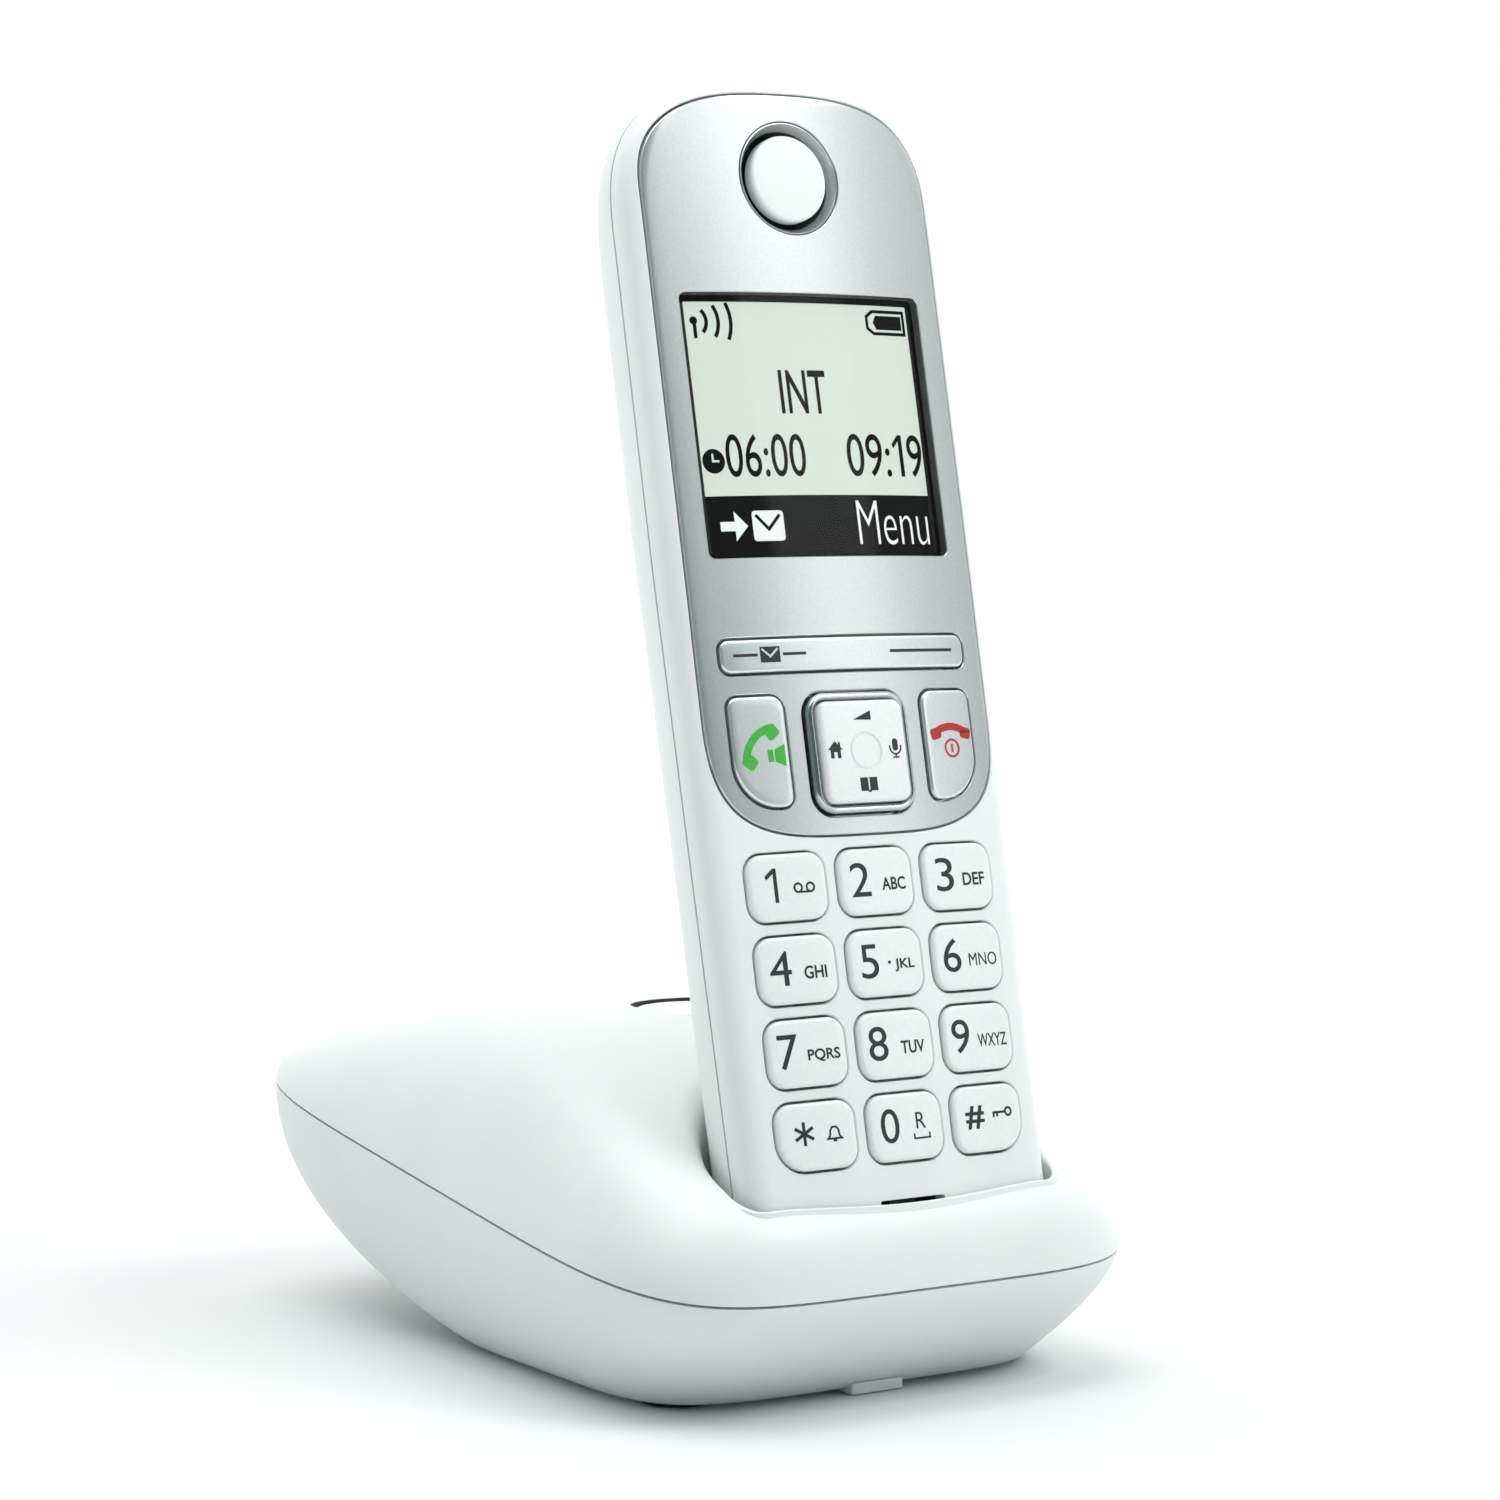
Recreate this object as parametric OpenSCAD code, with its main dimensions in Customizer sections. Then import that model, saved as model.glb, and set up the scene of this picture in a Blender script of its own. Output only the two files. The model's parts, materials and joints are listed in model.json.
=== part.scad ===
// Cordless telephone standing in its charging base.
// Row frame: X to the right, Y to the back, Z up, origin under the middle of the base on the table.
// The handset is drawn upright with the foot of its front face at the origin, X across, Y from the
// front face towards the back and Z along its length, and is then leaned back into the cradle.

/* [Base] */
// Width of the base at its parting line
base_w = 81; // [78:1:92]
// Depth of the base at its parting line
base_d = 122; // [118:1:134]
// How square the base outline is: 2 is an ellipse, more is squarer
base_square = 5.3; // [4:0.1:7]
// Height of the parting line at the front edge
seam_front_z = 15.9; // [15:0.1:17]
// Rise of the parting line for each millimetre towards the back
seam_rise = 0.14; // [0.12:0.01:0.16]
// Width of the flat underside
under_w = 63.6; // [56:0.2:68]
// Depth of the flat underside
under_d = 62; // [58:1:70]
// Distance from the front edge of the base back to the flat underside
under_setback = 13.9; // [11:0.1:15]
// Height of the flat underside above the table
under_z = 0.8; // [0.5:0.1:1.2]
// Wall of both base shells
base_wall = 2; // [1.6:0.1:2.4]
// Height the cover would have at its front edge
cover_front_z = 24.8; // [24:0.2:26]
// Height of the cover behind the handset
cover_peak_z = 46; // [44:0.5:50]
// Height of the cover towards its back edge
cover_back_z = 37; // [35:0.5:39]
// Place of the highest line of the cover, measured from the middle of the base
cover_peak_y = -4; // [-8:1:2]

/* [Handset] */
// Width of the handset
hs_w = 49; // [47:0.5:52]
// Width of the handset at its foot
hs_foot_w = 46.6; // [45:0.2:47]
// Length of the handset
hs_l = 155.3; // [152:0.1:160]
// Thickness of the handset
hs_t = 24; // [23:0.5:27]
// Depth of the parting line behind the front face
hs_seam = 5.8; // [5.4:0.1:6.4]
// Wall of both handset shells
hs_wall = 2.2; // [2:0.1:2.4]
// Radius of the crowned front across its width
crown_r = 174; // [150:1:220]
// Radius along the edge of the front face
edge_r = 3.5; // [3:0.1:4]
// Lean of the handset in the cradle, in degrees
lean = 12.4; // [11:0.1:14]
// Height of the foot of the front face above the table
foot_z = 19.6; // [19:0.1:21]
// Distance from the front edge of the base back to the foot of the front face
foot_setback = 2.9; // [2.8:0.1:3.2]

/* [Cradle] */
// Clearance between handset and cradle at the sides and back
cradle_side_gap = 0.9; // [0.6:0.1:1.2]
// Clearance between handset and cradle at the front
cradle_front_gap = 0.4; // [0.3:0.1:0.6]
// Clearance under the resting handset
cradle_floor_gap = 0.2; // [0.1:0.05:0.3]
// Wall of the cradle pit
cradle_wall = 1.6; // [1.2:0.1:2]
// Distance of each charging contact from the middle
contact_x = 9; // [7:0.5:11]

/* [Panel and display] */
// Width of the silver panel
panel_w = 44.2; // [43:0.1:45]
// Height of the panel's lower tip above the foot
panel_low = 54.4; // [54:0.1:55]
// Distance from the top of the handset to the top of the panel
panel_top_margin = 2.7; // [2.4:0.1:3.2]
// Thickness of the panel
panel_t = 1.4; // [1.2:0.1:1.5]
// Dark gap round the panel
panel_gap = 0.35; // [0.2:0.05:0.5]
// Width of the display window
window_w = 37.4; // [35:0.2:39]
// Height of the display window
window_h = 35.1; // [33:0.1:36]
// Distance from the foot to the lower edge of the window
window_low = 90.8; // [90:0.1:92]
// Width of the visible display
lcd_view_w = 35.6; // [34:0.2:36]
// Height of the pale part of the display
lcd_view_h = 26; // [24:0.2:28]
// Height of the dark strip under the pale part
lcd_strip_h = 8.4; // [7:0.1:9]
// Diameter of the ring round the earpiece
ear_d = 15.3; // [14:0.1:16]
// Diameter of the earpiece disc
ear_disc_d = 11.7; // [11:0.1:12]
// Height of the earpiece above the foot
ear_z = 141.4; // [141:0.1:142]

/* [Keys] */
// Distance between key columns
key_pitch_x = 13.3; // [13:0.1:13.5]
// Distance between key rows
key_pitch_z = 10.58; // [10.2:0.01:10.7]
// Width of a number key
key_w = 11.4; // [11:0.1:11.8]
// Height of a number key
key_h = 8.7; // [8:0.1:9]
// Corner radius of a number key
key_r = 2.4; // [1:0.1:3]
// Height of the top row of number keys above the foot
key_top_z = 48.1; // [47.8:0.1:48.4]
// How far a number key stands out
key_proud = 0.55; // [0.3:0.05:0.8]
// Travel of every key
key_travel = 0.7; // [0.4:0.05:0.8]
// Gap round each key
key_gap = 0.2; // [0.15:0.05:0.3]
// Height of the soft key bar above the foot
soft_z = 78; // [77.6:0.1:78.3]
// Height of the navigation key and of the keys beside it above the foot
nav_z = 64.9; // [64.6:0.1:65.2]
// Width of the navigation key's silver ring
nav_w = 15.4; // [15:0.1:15.8]
// Height of the navigation key's silver ring
nav_h = 15.7; // [15.2:0.1:16]
// Width of the rim of that ring
nav_rim = 1; // [0.9:0.1:1.4]

/* [Power] */
// Diameter of a battery cell
cell_d = 10.5; // [10.5:0.1:10.7]
// Length of a battery cell
cell_l = 44.5; // [44:0.1:45]
// Distance from the foot to the lower end of the cells
cell_low = 42; // [41:0.5:43]

/* [Hidden] */
$fn = 48;

white = "#f4f6f5";
silver = "#c4cccb";
dark = "#2a2d2e";
metal = "#b9bcbd";
board_green = "#2f6b45";

// ---- Base outline: rings of the hull and of the cover share one set of angles
half_d = base_d / 2;
ring_n = 48;
under_y0 = under_setback - half_d;
under_y1 = under_y0 + under_d;
under_square = 5;

function bend(v, e) = sign(v) * pow(abs(v), e);
function superellipse(a, y0, y1, square) = [for (i = [0 : ring_n - 1])
    let (t = 360 * i / ring_n)
    [a * bend(cos(t), 2 / square), (y0 + y1) / 2 + (y1 - y0) / 2 * bend(sin(t), 2 / square)]];
function seam_z(y) = seam_front_z + seam_rise * (y + half_d);

// Faces of a stack of equal rings, lowest ring first: its sides and its two end caps
function stack_sides(count, n) = [for (k = [0 : count - 2], i = [0 : n - 1])
    let (a = k * n + i, b = k * n + (i + 1) % n) each [[a, a + n, b + n], [a, b + n, b]]];
function low_cap(n) = [[for (i = [0 : n - 1]) i]];
function high_cap(count, n) = [[for (i = [n - 1 : -1 : 0]) (count - 1) * n + i]];
function apex_fan(count, n) =
    [for (i = [0 : n - 1]) [(count - 1) * n + i, count * n, (count - 1) * n + (i + 1) % n]];
module stack(rings) {
    n = len(rings[0]);
    polyhedron([for (r = rings) each r],
        concat(low_cap(n), stack_sides(len(rings), n), high_cap(len(rings), n)));
}

// Lower shell: t runs from 1 at the flat underside to 0 at the parting line
hull_steps = [1, 0.985, 0.94, 0.85, 0.7, 0.55, 0.4, 0.27, 0.15, 0.06, 0];
function hull_ring(t, i) =
    let (g = pow(1 - pow(t, 2.2), 0.9),
        a = under_w / 2 + (base_w - under_w) / 2 * g - i,
        y0 = under_y0 - (half_d + under_y0) * g + i,
        y1 = under_y1 + (half_d - under_y1) * g - i,
        shape = superellipse(a, y0, y1, under_square + (base_square - under_square) * g),
        rim = superellipse(base_w / 2, -half_d, half_d, base_square))
    [for (k = [0 : ring_n - 1])
        [shape[k].x, shape[k].y, seam_z(rim[k].y) * (1 - t) + under_z * t + i * t]];
function raised(ring, dz) = [for (p = ring) [p.x, p.y, p.z + dz]];
module hull_solid(i) {
    stack(concat([for (t = hull_steps) hull_ring(t, i)], [raised(hull_ring(0, i), 2)]));
}
// Everything below the parting plane lowered by gap
module below_seam(gap) {
    translate([0, -half_d, seam_front_z - gap]) rotate([atan(seam_rise), 0, 0])
        translate([-base_w, -base_d, -base_d]) cube([2 * base_w, 3 * base_d, base_d]);
}

// Cover: height over the parting plane, steep at the rim and crowned across the width
rim_steps = [1, 0.994, 0.98, 0.95, 0.9, 0.82, 0.7, 0.5, 0.25];
function hermite(y0, z0, m0, y1, z1, m1, y) =
    let (t = (y - y0) / (y1 - y0), l = y1 - y0)
    (2 * t * t * t - 3 * t * t + 1) * z0 + (t * t * t - 2 * t * t + t) * l * m0
    + (3 * t * t - 2 * t * t * t) * z1 + (t * t * t - t * t) * l * m1;
function ridge_z(y) = y < cover_peak_y
    ? hermite(-half_d, cover_front_z, 0.53, cover_peak_y, cover_peak_z, 0, y)
    : hermite(cover_peak_y, cover_peak_z, 0, half_d, cover_back_z, -0.2, y);
function edge_x(y, a, b) = a * pow(max(0, 1 - pow(abs(y) / b, base_square)), 1 / base_square);
function cover_z(x, y, i) =
    let (a = base_w / 2 - i, b = half_d - i,
        s = min(1, abs(x) / max(0.01, edge_x(y, a, b))),
        rise = ridge_z(y) - i - seam_z(y))
    seam_z(y) + rise * pow(max(0, 1 - pow(abs(y) / b, 40)), 0.62) * pow(1 - pow(s, 6), 0.7);

// skirt: how far the solid reaches below the parting plane
module cover_solid(i, skirt = 0) {
    outline = superellipse(base_w / 2 - i, i - half_d, half_d - i, base_square);
    rim = [for (p = outline) [p.x, p.y, seam_z(p.y)]];
    dome = [for (r = rim_steps) if (r < 1) [for (p = outline)
        [p.x * r, p.y * r, cover_z(p.x * r, p.y * r, i)]]];
    rings = concat(skirt > 0 ? [raised(rim, -skirt)] : [], [rim], dome);
    count = len(rings);
    polyhedron(concat([for (r = rings) each r], [[0, 0, cover_z(0, 0, i)]]),
        concat(low_cap(ring_n), stack_sides(count, ring_n), apex_fan(count, ring_n)));
}

// ---- Handset body: sections across the length, each inset by i from the outer skin
corner_b = 21;
corner_square = 2.7;
foot_r = 5;
back_square = 2;

function taper(z) = hs_foot_w / 2 + (hs_w - hs_foot_w) / 2 * min(1, max(0, z / 90));
function round_in(d, r) = d >= r ? 0 : r - sqrt(max(0, r * r - (r - d) * (r - d)));
function hs_half(z, i) =
    let (h = taper(z) - i, c = hs_l - corner_b, b = corner_b - i, r = max(0.5, foot_r - i))
    z > c ? h * pow(max(0, 1 - pow((z - c) / b, corner_square)), 1 / corner_square)
          : h - round_in(z - i, r);
function hs_front(z, i) =
    -i - round_in(hs_l - i - z, max(0.5, edge_r - i)) - round_in(z - i, max(0.5, foot_r - 1 - i));
function hs_back(z, i) =
    let (deep = hs_t - hs_seam - i, c = hs_l - 30, t = min(1, max(0, (z - c) / (30 - i))))
    -hs_seam - deep * pow(1 - pow(t, 2.4), 1 / 2.4) + round_in(z - i, max(0.5, foot_r - i));

// Section as points [x, depth], from the right seam over the front to the left seam and the back
function hs_section(h, f, b, i) =
    let (s = -hs_seam, cr = crown_r - i,
        r = min(max(0.4, edge_r - i), 0.9 * h, 0.8 * (f - s)),
        cy = f - cr, ey = cy + sqrt((cr - r) * (cr - r) - (h - r) * (h - r)),
        slope = atan2(ey - cy, h - r),
        edge = [for (k = [0 : 4]) let (a = slope * k / 4) [h - r + r * cos(a), max(s, ey + r * sin(a))]],
        u = edge[4].x,
        crown = [for (k = [1 : 7]) let (x = u * (1 - k / 4)) [x, cy + sqrt(cr * cr - x * x)]],
        back = [for (k = [1 : 13]) let (a = 180 * k / 14)
            [-h * bend(cos(a), 2 / back_square), s + (b - s) * bend(sin(a), 2 / back_square)]])
    concat([[h, s]], edge, crown, [for (k = [4 : -1 : 0]) [-edge[k].x, edge[k].y]], [[-h, s]], back);

function hs_stations(i) = concat(
    [for (a = [0, 30, 55, 75, 90]) i + max(0.5, foot_r - i) * (1 - cos(a))],
    [30, 90, 118],
    [for (a = [0, 20, 35, 48, 58, 67, 75, 81]) hs_l - corner_b + (corner_b - i) * sin(a)]);
module hs_body(i) {
    stack([for (z = hs_stations(i))
        [for (p = hs_section(hs_half(z, i), hs_front(z, i), hs_back(z, i), i)) [-p.x, -p.y, z]]]);
}

// ---- Drawing on the front face of the upright handset
// Extrude a flat outline drawn as [x, height] from depth w0 to depth w1, outwards
module prism(w0, w1) {
    translate([0, -w0, 0]) rotate([90, 0, 0]) linear_extrude(w1 - w0) children();
}
// Everything behind the crowned front face moved outwards by off
module crown(off) {
    translate([0, crown_r, -5]) cylinder(r = crown_r + off, h = hs_l + 10, $fn = 180);
}
// Outline with each corner [x, y, radius] rounded by an arc
function arc_corner(a, p, b) =
    let (u = [a.x - p.x, a.y - p.y] / norm([a.x - p.x, a.y - p.y]),
        v = [b.x - p.x, b.y - p.y] / norm([b.x - p.x, b.y - p.y]),
        half = acos(u * v) / 2, c = [p.x, p.y] + (u + v) / norm(u + v) * p.z / sin(half),
        s = [p.x, p.y] + u * p.z / tan(half), e = [p.x, p.y] + v * p.z / tan(half),
        a0 = atan2(s.y - c.y, s.x - c.x), a1 = atan2(e.y - c.y, e.x - c.x),
        turn = ((a1 - a0 + 540) % 360) - 180)
    p.z == 0 ? [[p.x, p.y]]
        : [for (k = [0 : 6]) let (q = a0 + turn * k / 6) [c.x + p.z * cos(q), c.y + p.z * sin(q)]];
function rounded(c) = [for (k = [0 : len(c) - 1])
    each arc_corner(c[(k + len(c) - 1) % len(c)], c[k], c[(k + 1) % len(c)])];
module block(x, z, w, h, r) {
    polygon(rounded([[x - w / 2, z - h / 2, r], [x + w / 2, z - h / 2, r],
        [x + w / 2, z + h / 2, r], [x - w / 2, z + h / 2, r]]));
}

// ---- Where the handset stands
hs_y = foot_setback - half_d;
module lean_back() {
    translate([0, hs_y, foot_z]) rotate([-lean, 0, 0]) children();
}

// ================= Base =================
seam_gap = 0.25;
screw_r = 1.25;
screw_fit = 0.1;
head_r = 2.7;
head_h = 2;
rear_screw = [23, -2];
rear_seat_z = 11;
rear_post_z = 14;
rear_screw_l = 12;
front_screw_setback = 22.5;
front_screw_y = front_screw_setback - half_d;
front_seat_z = 6;
front_post_z = 9;
front_screw_l = 7;
boss_r = 3.2;
post_r = 4.4;
base_foot_r = 5;
base_foot_recess = 0.6;
front_foot_in = [7.8, 9.1];
rear_foot_in = [11.8, 5.8];
front_foot = [under_w / 2 - front_foot_in.x, under_y0 + front_foot_in.y];
rear_foot = [under_w / 2 - rear_foot_in.x, under_y1 - rear_foot_in.y];
base_feet = [[-front_foot.x, front_foot.y], front_foot, [-rear_foot.x, rear_foot.y], rear_foot];
board_t = 1.6;
base_board_z = 28;
base_board_x = 18;
base_board_y0 = -22;
bay_y = 34;
bay_x = 20;
bay_top = 26;
bay_wall = 2;
jack_x = 9.3;
jack_w = 13.6;
jack_h = 12;
jack_l = 14;
mouth_w = 10;
mouth_h = 7;
mouth_depth = 11;
mouth_low = 1.6;
jack_gap = 0.1;
base_board_y1 = bay_y - bay_wall - jack_gap;
board_post = [15, -17, 14.5];
tab_w = 8;
tab_out = 1.6;
tab_l = 4;
tab_t = 1.4;
board_post_r = 2.5;
mouth_fit = 0.3;
head_fit = 0.3;
foot_fit = 0.1;

module base_post_from(x, y, r, low, h) { translate([x, y, low]) cylinder(r = r, h = h); }
module base_post(x, y, r, top) { base_post_from(x, y, r, 0, top); }
module base_bottom() {
    color(white) difference() {
        union() {
            intersection() { hull_solid(0); below_seam(seam_gap); }
            translate([-tab_w / 2, under_y0 - tab_out, 0.2]) cube([tab_w, tab_l, tab_t]);
        }
        difference() {
            hull_solid(base_wall);
            for (x = [-1, 1]) {
                base_post(x * rear_screw.x, rear_screw.y, post_r, rear_post_z);
                for (y = [board_post[1], board_post[2]])
                    base_post(x * board_post[0], y, board_post_r, base_board_z);
            }
            base_post(0, front_screw_y, post_r, front_post_z);
            translate([-bay_x - bay_wall, bay_y - bay_wall, 0])
                cube([2 * (bay_x + bay_wall), half_d, bay_top + bay_wall]);
        }
        translate([-bay_x, bay_y, -1]) cube([2 * bay_x, half_d, bay_top + 1]);
        for (x = [-jack_x, jack_x])
            translate([x - mouth_w / 2 - mouth_fit, bay_y - bay_wall - 1,
                       jack_low_z() + mouth_low - mouth_fit])
                cube([mouth_w + 2 * mouth_fit, bay_wall + 2, mouth_h + 2 * mouth_fit]);
        for (p = base_feet) translate([p.x, p.y, -1])
            cylinder(r = base_foot_r + foot_fit, h = 1 + under_z + base_foot_recess);
        for (x = [-1, 1]) screw_hole(x * rear_screw.x, rear_screw.y, rear_seat_z, rear_post_z);
        screw_hole(0, front_screw_y, front_seat_z, front_post_z);
    }
}
function jack_low_z() = base_board_z - jack_h;
module screw_hole(x, y, seat, top) {
    translate([x, y, -1]) cylinder(r = head_r + head_fit, h = seat + 1);
    translate([x, y, 0]) cylinder(r = screw_r + screw_fit, h = top + 1);
}
module screw(x, y, seat, l) {
    translate([x, y, seat - head_h]) cylinder(r = head_r, h = head_h);
    translate([x, y, seat - 0.5]) cylinder(r = screw_r, h = l + 0.5);
}
module base_screws() {
    color(metal) {
        for (x = [-1, 1]) screw(x * rear_screw.x, rear_screw.y, rear_seat_z, rear_screw_l);
        screw(0, front_screw_y, front_seat_z, front_screw_l);
    }
}
module rubber_feet() {
    color(dark) for (p = base_feet) translate([p.x, p.y, 0])
        cylinder(r = base_foot_r, h = under_z + base_foot_recess);
}

// The pit follows the handset's widest section in it, straight along the lean
pit_section_z = 34;
pit_top = 60;
module pit_prism(grow, front_grow, low) {
    h = hs_half(pit_section_z, 0) + grow;
    points = [for (p = hs_section(h, front_grow, -hs_t - grow, 0)) [-p.x, -p.y]];
    translate([0, 0, low]) linear_extrude(pit_top - low) polygon(points);
}
pit_floor = -cradle_floor_gap;
pit_clip_y = 2;
module pit_tube() {
    pit_prism(cradle_side_gap + cradle_wall, cradle_front_gap + cradle_wall, pit_floor - cradle_wall);
}
paging_r = 8.5;
paging_gap = 0.2;
paging_travel = 0.6;
paging_flange = 1.2;
paging_sunk = 0.5;
switch_w = 6;
switch_h = 3.8;
plunger_h = 0.8;
block_x = 13;
block_y = [9, 17];
block_h = 7.6;
leaf_w = 1.8;
leaf_y = [10.4, 15.6];
leaf_l = 6.4;
leaf_gap = 0.3;
contact_travel = 0.8;
leaf_slot_h = 20;
module leaf_slots(low) {
    for (x = [-contact_x, contact_x])
        translate([x - leaf_w / 2 - leaf_gap, leaf_y[0] - leaf_gap, low])
            cube([leaf_w + 2 * leaf_gap, leaf_y[1] - leaf_y[0] + 2 * leaf_gap, leaf_slot_h]);
}
module base_cover() {
    color(white) difference() {
        union() {
            cover_solid(0);
            intersection() {
                lean_back() pit_tube();
                translate([-hs_w, pit_clip_y - half_d, 0]) cube([2 * hs_w, hs_t + 10, seam_front_z + 6]);
            }
            base_post_from(0, front_screw_y, boss_r, front_post_z + 0.1, front_screw_l);
        }
        difference() {
            cover_solid(base_wall, 1);
            lean_back() pit_tube();
            base_post_from(0, front_screw_y, boss_r, front_post_z + 0.1, front_screw_l);
            for (x = [-1, 1]) base_post_from(x * rear_screw.x, rear_screw.y, boss_r, 0, cover_peak_z);
        }
        lean_back() pit_prism(cradle_side_gap, cradle_front_gap, pit_floor);
        lean_back() leaf_slots(-10);
        translate([0, cover_peak_y, base_board_z + 8]) cylinder(r = paging_r + paging_gap, h = 30);
        for (x = [-1, 1]) base_post_from(x * rear_screw.x, rear_screw.y, screw_r + screw_fit, 0,
            rear_seat_z + rear_screw_l + 1);
        base_post_from(0, front_screw_y, screw_r + screw_fit, 0, front_seat_z + front_screw_l + 0.3);
    }
}
paging_top = cover_peak_z - paging_sunk;
plunger_top = base_board_z + board_t + switch_h + plunger_h;
module paging_key() {
    color(white) translate([0, cover_peak_y, 0]) {
        translate([0, 0, paging_top - 3]) cylinder(r = paging_r, h = 3);
        translate([0, 0, paging_top - 4]) cylinder(r = paging_r + paging_flange, h = 1.2);
        translate([0, 0, plunger_top + paging_travel + 0.1])
            cylinder(r = 2, h = paging_top - plunger_top - paging_travel - 3);
    }
}
module paging_switch() {
    color(dark) {
        translate([-switch_w / 2, cover_peak_y - switch_w / 2, base_board_z + board_t])
            cube([switch_w, switch_w, switch_h]);
        translate([0, cover_peak_y, base_board_z + board_t]) cylinder(r = 1.7, h = switch_h + plunger_h);
    }
}
module base_circuit_board() {
    color(board_green) translate([-base_board_x, base_board_y0, base_board_z])
        cube([2 * base_board_x, base_board_y1 - base_board_y0, board_t]);
}
shield_h = 2.6;
base_shield = [26, 18];
base_shield_y = 6;
module base_radio_shield() {
    color(metal) translate([-base_shield.x / 2, base_shield_y, base_board_z + board_t])
        cube([base_shield.x, base_shield.y, shield_h]);
}
module jack(x) {
    y1 = bay_y - bay_wall - jack_gap;
    color(dark) difference() {
        translate([x - jack_w / 2, y1 - jack_l, jack_low_z()]) cube([jack_w, jack_l, jack_h]);
        translate([x - mouth_w / 2, y1 - mouth_depth, jack_low_z() + mouth_low])
            cube([mouth_w, mouth_depth + 1, mouth_h]);
    }
}
module power_jack() { jack(jack_x); }
module line_jack() { jack(-jack_x); }
module contact_block() {
    color(dark) lean_back() difference() {
        translate([-block_x, block_y[0], pit_floor - cradle_wall - block_h])
            cube([2 * block_x, block_y[1] - block_y[0], block_h]);
        leaf_slots(pit_floor - leaf_l - contact_travel - leaf_gap);
    }
}
// A strip bent into a hump whose crest touches the handset's pad
module charge_contact(x) {
    y = (leaf_y[0] + leaf_y[1]) / 2;
    w = (leaf_y[1] - leaf_y[0]) / 2;
    t = 0.45;
    color(metal) lean_back() translate([x - leaf_w / 2, y, 0]) rotate([90, 0, 90])
        linear_extrude(leaf_w) polygon([[-w, pit_floor - leaf_l], [-w, -1.4], [-1.2, -0.05], [1.2, -0.05],
            [w, -1.4], [w, pit_floor - leaf_l], [w - t, pit_floor - leaf_l], [w - t, -1.6],
            [1, -0.05 - t], [-1, -0.05 - t], [t - w, -1.6], [t - w, pit_floor - leaf_l]]);
}
module charge_contact_left() { charge_contact(-contact_x); }
module charge_contact_right() { charge_contact(contact_x); }

// ================= Handset =================
shell_gap = 0.1;
panel_seat = 0.1;
panel_side_depth = 4.4;
panel_top_square = 2.8;
panel_low_square = 3.6;
panel_top_b = 14.3;
panel_low_b = 18;
module panel_outline(grow) {
    top = hs_l - panel_top_margin;
    a = panel_w / 2 + grow;
    b = panel_top_b + grow;
    c = panel_low_b + grow;
    polygon(concat(
        [for (k = [0 : 20]) let (t = 9 * k)
            [a * bend(cos(t), 2 / panel_top_square),
                top - panel_top_b + b * bend(sin(t), 2 / panel_top_square)]],
        [for (k = [20 : 40]) let (t = 9 * k)
            [a * bend(cos(t), 2 / panel_low_square),
                panel_low + panel_low_b + c * bend(sin(t), 2 / panel_low_square)]]));
}
window_z = window_low + window_h / 2;
module window_outline(grow) { block(0, window_z, window_w + 2 * grow, window_h + 2 * grow, 1 + grow); }
soft_h = 4.4;
soft_w = window_w + 0.6;
module soft_outline(grow) { block(0, soft_z, soft_w + 2 * grow, soft_h + 2 * grow, 1.4 + grow); }
module nav_outline(grow) { block(0, nav_z, nav_w + 2 * grow, nav_h + 2 * grow, 2.8 + grow); }
// Key beside the navigation key: side is -1 for the left one and 1 for the right one
side_key_in = 10.7;
side_key_out = 18.8;
side_key_low = 6.6;
side_key_high = 7.9;
side_key_round = 5.9;
side_key_corner = [1.5, 1.9];
module side_key_outline(side, grow) {
    low = nav_z - side_key_low - grow;
    high = nav_z + side_key_high + grow;
    mirror([side < 0 ? 1 : 0, 0]) polygon(rounded([
        [side_key_in - grow, low, side_key_corner[0] + grow],
        [side_key_out + grow, low, side_key_round + grow],
        [side_key_out + grow, high, side_key_corner[0] + grow],
        [side_key_in - grow, high, side_key_corner[1] + grow]]));
}
// Number keys by column -1, 0, 1 and row 0 to 3; the lowest outer corners are rounder
module key_outline(col, row, grow) {
    x = col * key_pitch_x;
    z = key_top_z - row * key_pitch_z;
    w = key_w / 2 + grow;
    h = key_h / 2 + grow;
    r = key_r + grow;
    outer = row == 3 && col != 0 ? r + 1.6 : r;
    polygon(rounded([[x - w, z - h, col < 0 ? outer : r], [x + w, z - h, col > 0 ? outer : r],
        [x + w, z + h, r], [x - w, z + h, r]]));
}
module front_half() {
    translate([-hs_w, -5, -5]) cube([2 * hs_w, 5 + hs_seam - shell_gap / 2, hs_l + 10]);
}
module back_half() {
    translate([-hs_w, hs_seam + shell_gap / 2, -5]) cube([2 * hs_w, hs_t, hs_l + 10]);
}
mic_z = 7;
ear_ring_low = 3.6;
hs_screw = [14, 133];
hs_screw_seat = 15;
hs_screw_l = 7;
hs_screw_r = 1;
hs_screw_fit = 0.05;
hs_head_r = 1.7;
hs_head_h = 1.6;
hs_head_fit = 0.2;
hs_head_sink = 5;
hs_boss_r = 2.9;
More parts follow.
